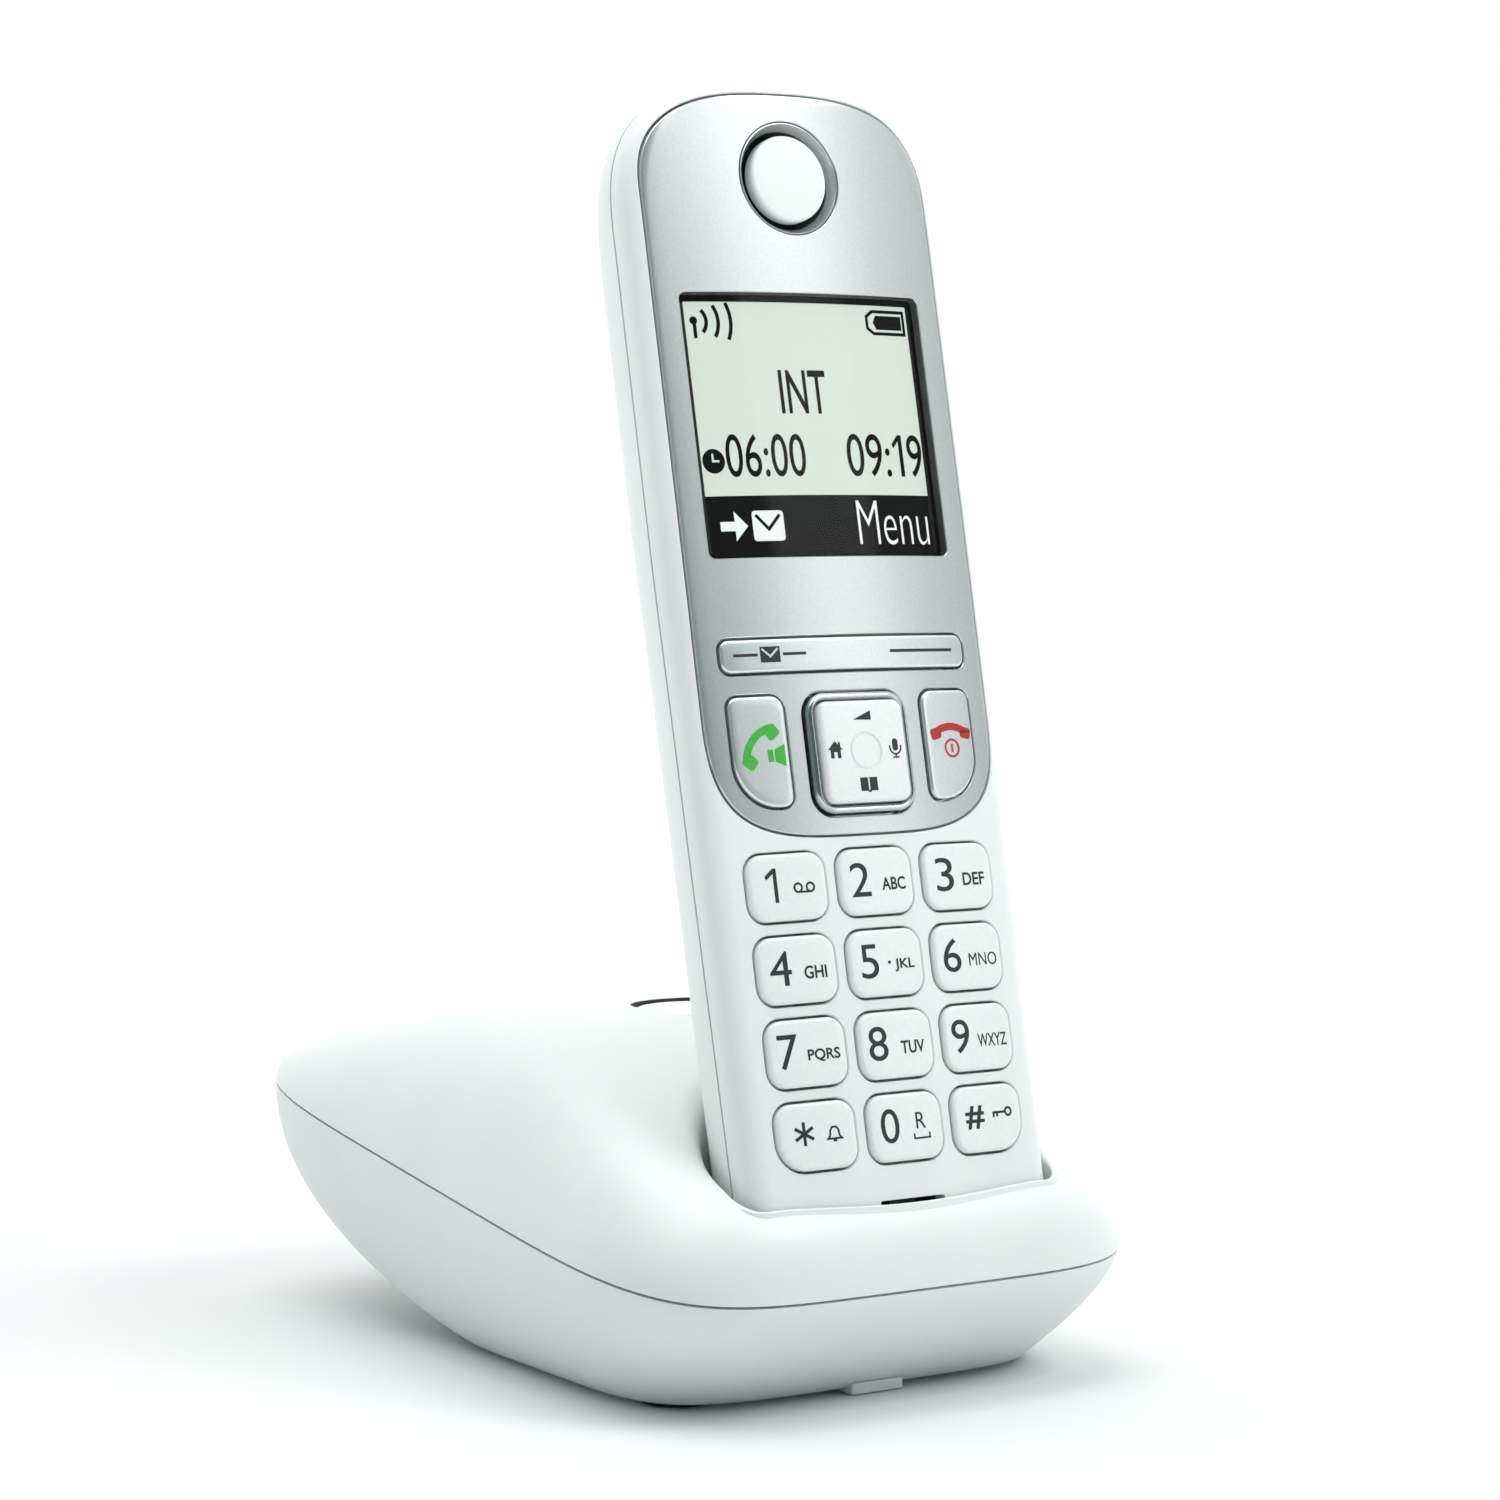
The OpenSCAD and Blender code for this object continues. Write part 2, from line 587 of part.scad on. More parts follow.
module front_shell() {
    color(white) lean_back() difference() {
        intersection() { hs_body(0); front_half(); }
        difference() {
            hs_body(hs_wall);
            for (x = [-1, 1]) prism(-hs_seam - 1, 0)
                translate([x * hs_screw.x, hs_screw[1]]) circle(r = 2.2);
        }
        difference() {
            prism(-panel_side_depth, 5) panel_outline(panel_gap);
            hs_body(panel_t + panel_seat);
        }
        prism(-hs_seam - 2, 5) {
            for (row = [0 : 3], col = [-1 : 1]) key_outline(col, row, key_gap);
            window_outline(-0.3);
            soft_outline(key_gap);
            nav_outline(nav_gap);
            for (side = [-1, 1]) side_key_outline(side, key_gap);
            translate([0, ear_z]) circle(r = ear_d / 2 + 0.05);
            block(0, mic_z, 10, 0.6, 0.28);
        }
        prism(-hs_seam - 2, -panel_t - 1.6)
            for (x = [-1, 1]) translate([x * hs_screw.x, hs_screw[1]]) circle(r = hs_screw_r + hs_screw_fit);
    }
}
module front_panel() {
    color(silver) lean_back() difference() {
        intersection() {
            difference() { hs_body(0); hs_body(panel_t); }
            prism(-panel_side_depth + panel_seat, 5) panel_outline(0);
        }
        prism(-hs_seam, 5) {
            window_outline(0);
            soft_outline(key_gap);
            nav_outline(nav_gap);
            for (side = [-1, 1]) side_key_outline(side, key_gap);
            translate([0, ear_z]) circle(r = ear_d / 2 + 0.05);
        }
    }
}
window_sunk = 0.1;
window_t = 1.2;
module display_window() {
    color("#101214") lean_back() intersection() {
        prism(-5, 3) window_outline(-0.1);
        difference() { crown(-window_sunk); crown(-window_sunk - window_t); }
    }
}
lcd_face = 3.4;
lcd_margin = 1.4;
module display_gasket() {
    color(dark) lean_back() intersection() {
        prism(-lcd_face, 1) difference() {
            window_outline(-0.5);
            block(0, window_z, lcd_view_w - 0.6, lcd_view_h + lcd_strip_h - 0.6, 0.5);
        }
        crown(-window_sunk - window_t - 0.05);
    }
}
hs_board_inset = 3.3;
hs_board_w = hs_foot_w - 2 * hs_board_inset;
hs_board_low = 4.5;
hs_board_high = 131;
hs_board_front = 6.6;
hs_board_t = 1.2;
module lcd_module() {
    color("#dfe9df") lean_back() prism(-hs_board_front + 0.05, -lcd_face)
        block(0, window_z, lcd_view_w + 2 * lcd_margin, window_h + 2 * lcd_margin, 0.6);
}
module around_ear(low) { translate([0, -low, ear_z]) rotate([90, 0, 0]) children(); }
module earpiece_ring() {
    r = ear_d / 2;
    color(silver) lean_back() around_ear(0) rotate_extrude() polygon([[r - 1, -ear_ring_low],
        [r, -ear_ring_low], [r, -0.25], [r - 0.15, -0.15], [r - 0.95, -1.3]]);
}
module earpiece_disc() {
    r = ear_disc_d / 2;
    color(white) lean_back() around_ear(0) rotate_extrude() polygon([[0, -ear_ring_low],
        [2.4, -ear_ring_low], [2.4, -1.9], [r, -1.9], [r, -0.7], [r - 0.2, -0.3], [r - 0.7, -0.05], [0, 0]]);
}
cloth_t = 0.4;
speaker_h = 4;
module earpiece_cloth() {
    color(dark) lean_back() around_ear(-ear_ring_low - cloth_t) cylinder(r = ear_d / 2, h = cloth_t);
}
module receiver_speaker() {
    color(metal) lean_back() around_ear(-ear_ring_low - cloth_t - speaker_h)
        cylinder(r = ear_d / 2 + 0.6, h = speaker_h);
}

// Keys: a cap that stands through the shell and a flange that holds it in
key_low = 4.6;
flange_rim = 0.4;
flange_gap = 0.25;
rocker_gap = 0.5;
rocker_low = 4.7;
module key_body(proud, low, clear) {
    intersection() {
        union() {
            prism(-low, 4) children(0);
            intersection() { prism(-low, 0) children(1); crown(-hs_wall - clear); }
        }
        crown(proud);
    }
}
module number_key(col, row) {
    color(white) lean_back() key_body(key_proud, key_low, flange_gap) {
        key_outline(col, row, 0);
        key_outline(col, row, flange_rim);
    }
}
module key_1() { number_key(-1, 0); }
module key_2() { number_key(0, 0); }
module key_3() { number_key(1, 0); }
module key_4() { number_key(-1, 1); }
module key_5() { number_key(0, 1); }
module key_6() { number_key(1, 1); }
module key_7() { number_key(-1, 2); }
module key_8() { number_key(0, 2); }
module key_9() { number_key(1, 2); }
module key_star() { number_key(-1, 3); }
module key_0() { number_key(0, 3); }
module key_hash() { number_key(1, 3); }
side_key_proud = 0.35;
module side_key(side) {
    color(silver) lean_back() key_body(side_key_proud, key_low, flange_gap) {
        side_key_outline(side, 0);
        side_key_outline(side, flange_rim);
    }
}
module talk_key() { side_key(-1); }
module end_key() { side_key(1); }
module softkey_bar() {
    color(silver) lean_back() key_body(0.3, rocker_low, rocker_gap) {
        soft_outline(0);
        soft_outline(flange_rim);
    }
}
nav_gap = 0.35;
nav_low = 4.7;
nav_floor = 0.6;
nav_ring_proud = 0.9;
nav_plate_proud = 1.6;
nav_plate_gap = 0.2;
module nav_inner(grow) {
    block(0, nav_z, nav_w - 2 * nav_rim + 2 * grow, nav_h - 2 * nav_rim + 2 * grow, 1.6 + grow);
}
module nav_ring() {
    color(metal) lean_back() difference() {
        union() {
            prism(-nav_low, nav_ring_proud) nav_outline(0);
            intersection() {
                prism(-nav_low, 0) nav_outline(nav_gap + flange_rim);
                crown(-hs_wall - rocker_gap);
            }
        }
        prism(-nav_low + nav_floor, 5) nav_inner(0);
    }
}
module nav_plate() {
    color(white) lean_back() prism(-nav_low + nav_floor + 0.4, nav_plate_proud)
        nav_inner(-nav_plate_gap);
}
mat_t = 1.1;
mat_top = hs_board_front - 0.05 - mat_t;
module keypad_mat() {
    color("#d5dad8") lean_back() prism(-mat_top - mat_t, -mat_top)
        block(0, (10 + soft_z + 5) / 2, hs_board_w - 1, soft_z - 5, 2);
}
module handset_circuit_board() {
    color(board_green) lean_back() difference() {
        prism(-hs_board_front - hs_board_t, -hs_board_front)
            block(0, (hs_board_low + hs_board_high) / 2, hs_board_w, hs_board_high - hs_board_low, 2.5);
        for (x = [-1, 1]) prism(-hs_t, 0) translate([x * hs_screw.x, hs_screw[1]])
            circle(r = hs_boss_r + 0.1);
    }
}
hs_shield = [26, 22];
hs_shield_z = 108;
module handset_radio_shield() {
    color(metal) lean_back() prism(-hs_board_front - hs_board_t - shield_h, -hs_board_front - hs_board_t)
        block(0, hs_shield_z, hs_shield.x, hs_shield.y, 0.5);
}
module microphone() {
    color(dark) lean_back() translate([0, hs_board_front, mic_z]) rotate([90, 0, 0])
        cylinder(r = 2, h = hs_board_front - hs_wall - 0.3);
}

// Battery tray in the back shell
cell_gap = 0.3;
cell_x = cell_d / 2 + cell_gap;
tray_half = 2 * cell_x;
tray_end = 4;
tray_wall = 1.2;
tray_floor = 9.8;
cell_depth = tray_floor + 0.2 + cell_d / 2;
cell_high = cell_low + cell_l;
tray_z = cell_low + cell_l / 2;
door_w = 29;
door_h = cell_l + 2 * tray_end + 2 * tray_wall + 3;
door_t = 1.6;
door_gap = 0.25;
ringer_z = 113;
ringer_r = 9;
ringer_back = 20.1;
ringer_h = 3.8;
ringer_slot = [11, 1.1];
ringer_pitch = 2.6;
ringer_wall = 1.1;
ringer_fit = 0.2;
pad_w = 5;
pad_t = 0.6;
module door_outline(grow) { block(0, tray_z, door_w + 2 * grow, door_h + 2 * grow, 2 + grow); }
module pads(grow) {
    for (x = [-contact_x, contact_x])
        translate([x - pad_w / 2 - grow, (leaf_y[0] + leaf_y[1] - pad_w) / 2 - grow, 0])
            cube([pad_w + 2 * grow, pad_w + 2 * grow, pad_t + grow]);
}
module back_shell() {
    color(white) lean_back() difference() {
        intersection() { hs_body(0); back_half(); }
        difference() {
            hs_body(hs_wall);
            prism(-hs_t, -tray_floor + tray_wall) block(0, tray_z, 2 * (tray_half + tray_wall),
                cell_l + 2 * (tray_end + tray_wall), 0.5);
            prism(-hs_t, -ringer_back + 2.5) translate([0, ringer_z]) difference() {
                circle(r = ringer_r + ringer_fit + ringer_wall);
                circle(r = ringer_r + ringer_fit);
            }
            prism(-hs_t, -hs_seam)
                for (x = [-1, 1]) translate([x * hs_screw.x, hs_screw[1]]) circle(r = hs_boss_r);
        }
        difference() {
            prism(-hs_t - 5, -hs_seam - 4) door_outline(0);
            hs_body(door_t + 0.2);
        }
        prism(-hs_t - 5, -tray_floor) block(0, tray_z, 2 * tray_half, cell_l + 2 * tray_end, 0.3);
        prism(-hs_t - 5, -ringer_back + 1) for (k = [-2 : 2])
            block(0, ringer_z + ringer_pitch * k, ringer_slot.x - 1.6 * abs(k), ringer_slot.y, 0.5);
        for (x = [-1, 1]) {
            prism(-2 * hs_t, 0) translate([x * hs_screw.x, hs_screw[1]])
                circle(r = hs_screw_r + hs_screw_fit);
            prism(-2 * hs_t, -hs_screw_seat + hs_head_sink) translate([x * hs_screw.x, hs_screw[1]])
                circle(r = hs_head_r + hs_head_fit);
        }
        pads(0.1);
    }
}
module handset_screws() {
    color(metal) lean_back() for (x = [-1, 1]) translate([x * hs_screw.x, 0, hs_screw[1]]) {
        translate([0, hs_screw_seat - hs_head_sink + hs_head_h, 0]) rotate([90, 0, 0])
            cylinder(r = hs_head_r, h = hs_head_h);
        translate([0, hs_screw_seat - hs_head_sink + 0.5, 0]) rotate([90, 0, 0])
            cylinder(r = hs_screw_r, h = hs_screw_l);
    }
}
module cell(side) {
    color("#3d6b8f") lean_back() translate([side * cell_x, cell_depth, cell_low]) {
        cylinder(r = cell_d / 2, h = cell_l - 0.8);
        cylinder(r = 1.9, h = cell_l);
    }
}
module battery_left() { cell(-1); }
module battery_right() { cell(1); }
// Bent strips at both ends of each cell
module cell_strip(x) {
    d = cell_depth;
    translate([x - 3, 0, 0]) rotate([90, 0, 90]) linear_extrude(6) polygon([[d - 4, 0.05], [d + 4, 0.05],
        [d + 4, 0.5], [d - 2.4, 0.5], [d + 0.4, tray_end - 0.5], [d + 2.8, 1.4], [d + 3.2, 1.7],
        [d + 0.6, tray_end - 0.05], [d, tray_end - 0.05], [d - 4, 0.7]]);
}
module battery_contacts() {
    color(metal) lean_back() for (x = [-cell_x, cell_x]) {
        translate([0, 0, cell_low - tray_end]) cell_strip(x);
        translate([0, 0, cell_high + tray_end]) mirror([0, 0, 1]) cell_strip(x);
    }
}
module battery_cover() {
    color(white) lean_back() intersection() {
        prism(-hs_t - 5, -hs_seam - 4) door_outline(-door_gap);
        difference() { hs_body(0); hs_body(door_t); }
    }
}
module ringer_speaker() {
    color(dark) lean_back() translate([0, ringer_back, ringer_z]) rotate([90, 0, 0])
        cylinder(r = ringer_r, h = ringer_h);
}
module charge_pads() { color(metal) lean_back() pads(0); }

base_cover();
base_bottom();
rubber_feet();
base_screws();
base_circuit_board();
base_radio_shield();
power_jack();
line_jack();
contact_block();
charge_contact_left();
charge_contact_right();
paging_key();
paging_switch();
front_shell();
back_shell();
handset_screws();
front_panel();
display_window();
display_gasket();
lcd_module();
earpiece_ring();
earpiece_disc();
earpiece_cloth();
receiver_speaker();
softkey_bar();
talk_key();
end_key();
nav_ring();
nav_plate();
key_1();
key_2();
key_3();
key_4();
key_5();
key_6();
key_7();
key_8();
key_9();
key_star();
key_0();
key_hash();
keypad_mat();
handset_circuit_board();
handset_radio_shield();
microphone();
battery_left();
battery_right();
battery_contacts();
battery_cover();
ringer_speaker();
charge_pads();
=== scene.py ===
# %% [markdown]
# # A cordless telephone standing in its charging base
# The real object is two moulded things: a slim handset, and a low rounded base that it stands in.
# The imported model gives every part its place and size, in metres, with +Z up and the keypad facing -Y.
# This script dresses that model. It rebuilds the visible mouldings with finer surfaces, prints the
# legends, gives each part the finish of its real material and sets up a plain studio.

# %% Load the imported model
import json
import math
import bmesh
import bpy
import numpy as np
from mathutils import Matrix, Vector
from mathutils.bvhtree import BVHTree
from mathutils.interpolate import poly_3d_calc


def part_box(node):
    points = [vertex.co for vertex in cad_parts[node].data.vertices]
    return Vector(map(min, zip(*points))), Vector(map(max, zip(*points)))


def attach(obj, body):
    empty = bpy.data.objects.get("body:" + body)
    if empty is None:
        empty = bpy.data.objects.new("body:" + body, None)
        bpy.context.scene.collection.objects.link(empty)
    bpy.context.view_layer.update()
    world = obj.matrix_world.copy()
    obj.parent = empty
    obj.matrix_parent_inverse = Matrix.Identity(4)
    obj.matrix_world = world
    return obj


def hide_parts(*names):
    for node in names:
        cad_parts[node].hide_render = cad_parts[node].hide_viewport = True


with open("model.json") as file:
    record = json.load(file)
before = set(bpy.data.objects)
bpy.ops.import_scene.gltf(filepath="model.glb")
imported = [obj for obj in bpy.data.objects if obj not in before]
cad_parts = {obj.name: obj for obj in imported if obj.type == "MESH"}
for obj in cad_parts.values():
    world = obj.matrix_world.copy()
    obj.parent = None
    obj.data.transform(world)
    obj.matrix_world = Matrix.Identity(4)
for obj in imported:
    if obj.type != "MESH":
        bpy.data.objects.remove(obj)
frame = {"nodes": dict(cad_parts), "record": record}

scene = bpy.context.scene
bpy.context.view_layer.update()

# %% [markdown]
# ## The camera
# The view comes first, because every choice of detail depends on what it shows. It looks at the
# phone from the front left and a little above the table, through a long lens, so the handset's
# edges stay nearly parallel. A studio photographer would stand about half a metre away for this.

# %% Place the camera
lens = bpy.data.cameras.new("studio_camera")
lens.lens = 98.15
lens.sensor_width = 36
lens.shift_x = 0.00095
lens.shift_y = 0.00265
lens.clip_start = 0.01
camera = bpy.data.objects.new("studio_camera", lens)
camera.location = (-0.2987, -0.4792, 0.1188)
camera.rotation_euler = Vector((0.5422, 0.8375, -0.0681)).to_track_quat("-Z", "Y").to_euler()
scene.collection.objects.link(camera)
scene.camera = camera
print("Camera stands", round(camera.location.length, 3), "m from the base's middle")

# %% [markdown]
# ## One colour function and one node function
# Hex colours are what a paint chart or a designer gives, and they are sRGB. Shaders work in linear
# light, so every colour passes through one function. Another small function adds a shader node with
# its settings and links, which keeps each material's recipe readable.

# %% Colour and node helpers
def colour(code):
    parts = [int(code[i:i + 2], 16) / 255 for i in (1, 3, 5)]
    return tuple(c / 12.92 if c < 0.04045 else ((c + 0.055) / 1.055) ** 2.4 for c in parts) + (1.0,)


def add_node(tree, kind, values=None, links=None, **settings):
    node = tree.nodes.new(kind)
    for key, value in settings.items():
        setattr(node, key, value)
    for key, value in (values or {}).items():
        node.inputs[key].default_value = value
    for key, source in (links or {}).items():
        tree.links.new(source, node.inputs[key])
    return node


def finish_material(name, **sockets):
    material = bpy.data.materials.new(name)
    material.use_nodes = True
    tree = material.node_tree
    tree.nodes.clear()
    surface = add_node(tree, "ShaderNodeBsdfPrincipled", values=sockets)
    add_node(tree, "ShaderNodeOutputMaterial", links={"Surface": surface.outputs[0]})
    return material, tree, surface


def grain(tree, surface, size_mm, depth_mm, strength, detail=2.0):
    # Fine relief of a mould or a coat of paint: size_mm is the width of one bump.
    place = add_node(tree, "ShaderNodeTexCoord")
    noise = add_node(tree, "ShaderNodeTexNoise", {"Scale": 1000.0 / size_mm, "Detail": detail},
                     {"Vector": place.outputs["Object"]})
    bump = add_node(tree, "ShaderNodeBump", {"Strength": strength, "Distance": depth_mm / 1000},
                    {"Height": noise.outputs[0]})
    tree.links.new(bump.outputs[0], surface.inputs["Normal"])
    return place, noise


def tint(tree, surface, source, low, high, start=0.3, end=0.7):
    # The base colour wanders between two close hex colours
    ramp = add_node(tree, "ShaderNodeValToRGB", links={"Fac": source})
    for element, position, code in zip(ramp.color_ramp.elements, (start, end), (low, high)):
        element.position, element.color = position, colour(code)
    tree.links.new(ramp.outputs[0], surface.inputs["Base Color"])


def grained(name, low, high, size_mm, depth_mm, strength, detail=2.0, start=0.3, end=0.7, **sockets):
    # A finish whose relief and colour follow one noise
    material, tree, surface = finish_material(name, **sockets)
    noise = grain(tree, surface, size_mm, depth_mm, strength, detail)[1]
    tint(tree, surface, noise.outputs[0], low, high, start, end)
    return material


print("Paper white in linear light:", [round(v, 3) for v in colour("#F4F6F5")])

# %% [markdown]
# ## White mouldings: ABS
# Both shells of the base and of the handset are injection-moulded ABS in a cool white. The mould is
# spark eroded, which leaves a very fine satin grain. It spreads reflections into wide soft lights.
# The real grain is about 0.1 mm; it is drawn at 0.35 mm so that it shows at all.

# %% White ABS, for shells and for keys
shell_white, tree, surface = finish_material("satin_white_abs", **{"IOR": 1.52, "Roughness": 0.42})
place = grain(tree, surface, 0.35, 0.02, 0.10)[0]
cloud = add_node(tree, "ShaderNodeTexNoise", {"Scale": 60.0, "Detail": 3.0},
                 {"Vector": place.outputs["Object"]})
tint(tree, surface, cloud.outputs[0], "#E6EAE9", "#EBEEED")

key_white = grained("smooth_white_abs", "#E7EAE9", "#ECEFEE", 0.5, 0.01, 0.05,
                    **{"IOR": 1.52, "Roughness": 0.30})
print("White plastics:", shell_white.name, key_white.name)

# %% [markdown]
# ## Silver mouldings: metallic lacquer over ABS
# The upper panel and the keys in it are sprayed with a silver lacquer. Tiny aluminium flakes lie in
# it, each tilted a little, so the panel darkens and brightens in broad soft bands as it turns.
# The flakes are drawn at 0.25 mm. The rim of the navigation key is plated, and much smoother.

# %% Silver lacquer, plated rim and steel
def lacquer(name, dark, light, rough):
    return grained(name, dark, light, 0.25, 0.012, 0.06, 1.0, 0.35, 0.65, **{
        "Metallic": 0.8, "Roughness": rough, "IOR": 1.5, "Coat Weight": 0.2, "Coat Roughness": 0.12})


def bare_metal(name, dark, light, rough, size_mm, strength):
    return grained(name, dark, light, size_mm, 0.01, strength, **{"Metallic": 1.0, "Roughness": rough})


panel_silver = lacquer("silver_lacquered_abs", "#C9CFCE", "#D0D6D5", 0.30)
key_silver = lacquer("pale_silver_lacquered_abs", "#D6DBDA", "#DDE2E1", 0.32)
ring_grey = lacquer("grey_lacquered_abs", "#A9B0AF", "#B2B9B8", 0.3)
plated_rim = bare_metal("satin_plated_abs", "#B4BABA", "#C4CACA", 0.2, 0.6, 0.05)
nickel_steel = bare_metal("nickel_plated_steel", "#A9ACAD", "#BFC2C2", 0.28, 0.4, 0.1)
contact_gold = bare_metal("gold_flashed_bronze", "#C9A24A", "#DDB863", 0.22, 0.4, 0.08)
print("Metals:", panel_silver.name, plated_rim.name, nickel_steel.name, contact_gold.name)

# %% [markdown]
# ## Dark parts, inks and the display
# Legends are pad-printed: a thin matt ink with crisp edges. The display window is clear acrylic
# with black ink on the back of its border. The display itself is a pale green-grey liquid crystal
# picture lit from behind, so it gives off a little light of its own.

# %% Dark plastics, rubber, inks and display
def plain_finish(name, low, high, rough, size_mm, strength, **sockets):
    return grained(name, low, high, size_mm, 0.02, strength, **{"Roughness": rough, "IOR": 1.5, **sockets})


def lit_finish(name, low, high, glow, power):
    return plain_finish(name, low, high, 0.5, 0.35, 0.02, **{"Emission Color": colour(glow),
                                                             "Emission Strength": power})


black_abs = plain_finish("black_moulded_abs", "#17191A", "#1F2122", 0.45, 0.4, 0.15)
foot_rubber = plain_finish("black_moulded_rubber", "#1C1D1E", "#262728", 0.75, 0.5, 0.3)
mat_silicone = plain_finish("pale_silicone_rubber", "#CDD3D0", "#D8DDDA", 0.55, 0.8, 0.15)
legend_ink = plain_finish("dark_printed_ink", "#16191B", "#202427", 0.5, 0.2, 0.05)
talk_ink = plain_finish("green_printed_ink", "#35A82F", "#3FB43A", 0.45, 0.2, 0.05)
hang_up_ink = plain_finish("red_printed_ink", "#A81C1A", "#BB2422", 0.45, 0.2, 0.05)
window_ink = plain_finish("black_printed_border", "#050606", "#090B0B", 0.5, 0.3, 0.02,
                          **{"Specular IOR Level": 0.15})
speaker_cloth = plain_finish("black_speaker_cloth", "#0D0E0F", "#232526", 0.9, 0.3, 0.8)
board_lacquer = plain_finish("green_solder_resist", "#1F5A35", "#2A6B41", 0.35, 1.2, 0.2)
cell_sleeve = plain_finish("blue_shrunk_sleeve", "#2E5F86", "#38709A", 0.3, 0.8, 0.1)
display_pale = lit_finish("pale_liquid_crystal", "#C6D3C8", "#CCD8CD", "#EEF8EF", 0.62)
display_white = lit_finish("lit_liquid_crystal_icons", "#F4FAF4", "#FBFFFB", "#F4FFF4", 0.6)
window_clear = finish_material("clear_acrylic", **{"Base Color": colour("#0A0C0C"), "Roughness": 0.03,
                                                   "IOR": 1.49, "Alpha": 0.16})[0]
print("Materials so far:", len(bpy.data.materials))

# %% [markdown]
# ## The handset's own coordinates
# The handset leans back in the base, but it is easiest to think of it lying flat. So each handset
# piece is drawn in millimetres as (across, height above the foot, outwards from the face), and one
# function stands it up. The lean is read from the model: it is the direction the handset lifts in.

# %% Stand a handset piece up
joints = {j["name"]: j for j in frame["record"]["behaviour"]["joints"]}
up = np.array(joints["handset_lift"]["axis"], float)
up /= np.linalg.norm(up)
inward = np.array([0.0, up[2], -up[1]])
across = np.array([1.0, 0.0, 0.0])
foot = np.array([0.0, -58.1, 19.6])


def stand(points):
    p = np.asarray(points, float)
    return foot + p[:, :1] * across + p[:, 1:2] * up - p[:, 2:3] * inward


def section_at(section, h):
    # An (across, outwards) section set at a height, or at a height for each of its points
    return stand(np.column_stack([section[:, 0], np.full(len(section), h), section[:, 1]]))


print("The handset leans back by", round(math.degrees(math.atan2(up[1], up[2])), 2), "degrees")

# %% [markdown]
# ## The handset's skin
# The body is one smooth form: a front with a very large crown radius, a small radius along its
# edge, and a back that is half an ellipse. It tapers a little to the foot. The same few rules that
# shaped the solid parts are sampled here much more finely, so light runs over it without facets.

# %% Rules of the handset's skin
hs_width, hs_foot_width, hs_length, hs_depth = 49.0, 46.6, 155.3, 24.0
hs_seam, hs_wall = 5.8, 2.2
crown_radius, edge_radius, foot_radius = 174.0, 3.5, 5.0
top_depth, top_square = 21.0, 2.7
taper_high, back_top, back_square, least_radius = 90, 30, 2.4, 0.5


def signed_power(v, e):
    return np.sign(v) * np.abs(v) ** e


def round_in(d, r):
    # How far a quarter round of radius r draws in at a distance d from its end
    r = max(least_radius, r)
    return 0.0 if d >= r else r - math.sqrt(max(0.0, r * r - (r - d) ** 2))


def half_width(h, inset=0.0):
    full = hs_foot_width / 2 + (hs_width - hs_foot_width) / 2 * min(1, max(0, h / taper_high)) - inset
    start, b = hs_length - top_depth, top_depth - inset
    if h > start:
        return full * max(0.0, 1 - ((h - start) / b) ** top_square) ** (1 / top_square)
    return full - round_in(h - inset, foot_radius - inset)


def front_level(h, inset=0.0):
    return (-inset - round_in(hs_length - inset - h, edge_radius - inset)
            - round_in(h - inset, foot_radius - 1 - inset))


def back_level(h, inset=0.0):
    deep = hs_depth - hs_seam - inset
    t = min(1.0, max(0.0, (h - hs_length + back_top) / (back_top - inset)))
    return (-hs_seam - deep * (1 - t ** back_square) ** (1 / back_square)
            + round_in(h - inset, foot_radius - inset))


def front_curve(half, level, inset=0.0, edge_steps=10, crown_steps=28):
    # Points (across, outwards) from the right parting line over the front to the left one
    seam, big = -hs_seam, crown_radius - inset
    r = min(max(0.4, edge_radius - inset), 0.9 * half, 0.8 * (level - seam))
    cy = level - big
    ey = cy + math.sqrt((big - r) ** 2 - (half - r) ** 2)
    slope = math.atan2(ey - cy, half - r)
    a = np.linspace(0, slope, edge_steps)
    edge = np.column_stack([half - r + r * np.cos(a), np.maximum(seam, ey + r * np.sin(a))])
    x = np.linspace(edge[-1, 0], -edge[-1, 0], crown_steps)[1:-1]
    crown = np.column_stack([x, cy + np.sqrt(big * big - x * x)])
    return np.vstack([[[half, seam]], edge, crown, edge[::-1] * [-1, 1], [[-half, seam]]])


def back_curve(half, level, steps=60):
    a = np.linspace(0, math.pi, steps)[1:-1]
    return np.column_stack([-half * np.cos(a), -hs_seam + (level + hs_seam) * np.sin(a)])


def skin_level(x, h):
    # Height of the front skin over a point (x, h)
    curve = front_curve(half_width(h), front_level(h))[1:-1][::-1]
    return float(np.interp(x, curve[:, 0], curve[:, 1]))


def crown_level(x, h=0.0):
    # The same along the whole length, without the roll at the ends
    return math.sqrt(crown_radius * crown_radius - x * x) - crown_radius


print("The crown falls", round(-crown_level(20), 2), "mm from the middle to 20 mm out")

# %% [markdown]
# ## From points to pieces
# Three small tools make nearly every moulding: a loft that joins rings of points into a closed
# skin, a cutter that opens a neat hole in it, and a function that turns the result into an object
# with soft shading and crisp edges where the angle is sharp.

# %% Loft, cut and finish a moulding
def make_object(name, points_mm, faces, material=None):
    mesh = bpy.data.meshes.new(name)
    mesh.from_pydata([tuple(p) for p in np.asarray(points_mm, float) * 0.001], [], faces)
    mesh.update()
    made = bpy.data.objects.new(name, mesh)
    scene.collection.objects.link(made)
    if material:
        mesh.materials.append(material)
    return made


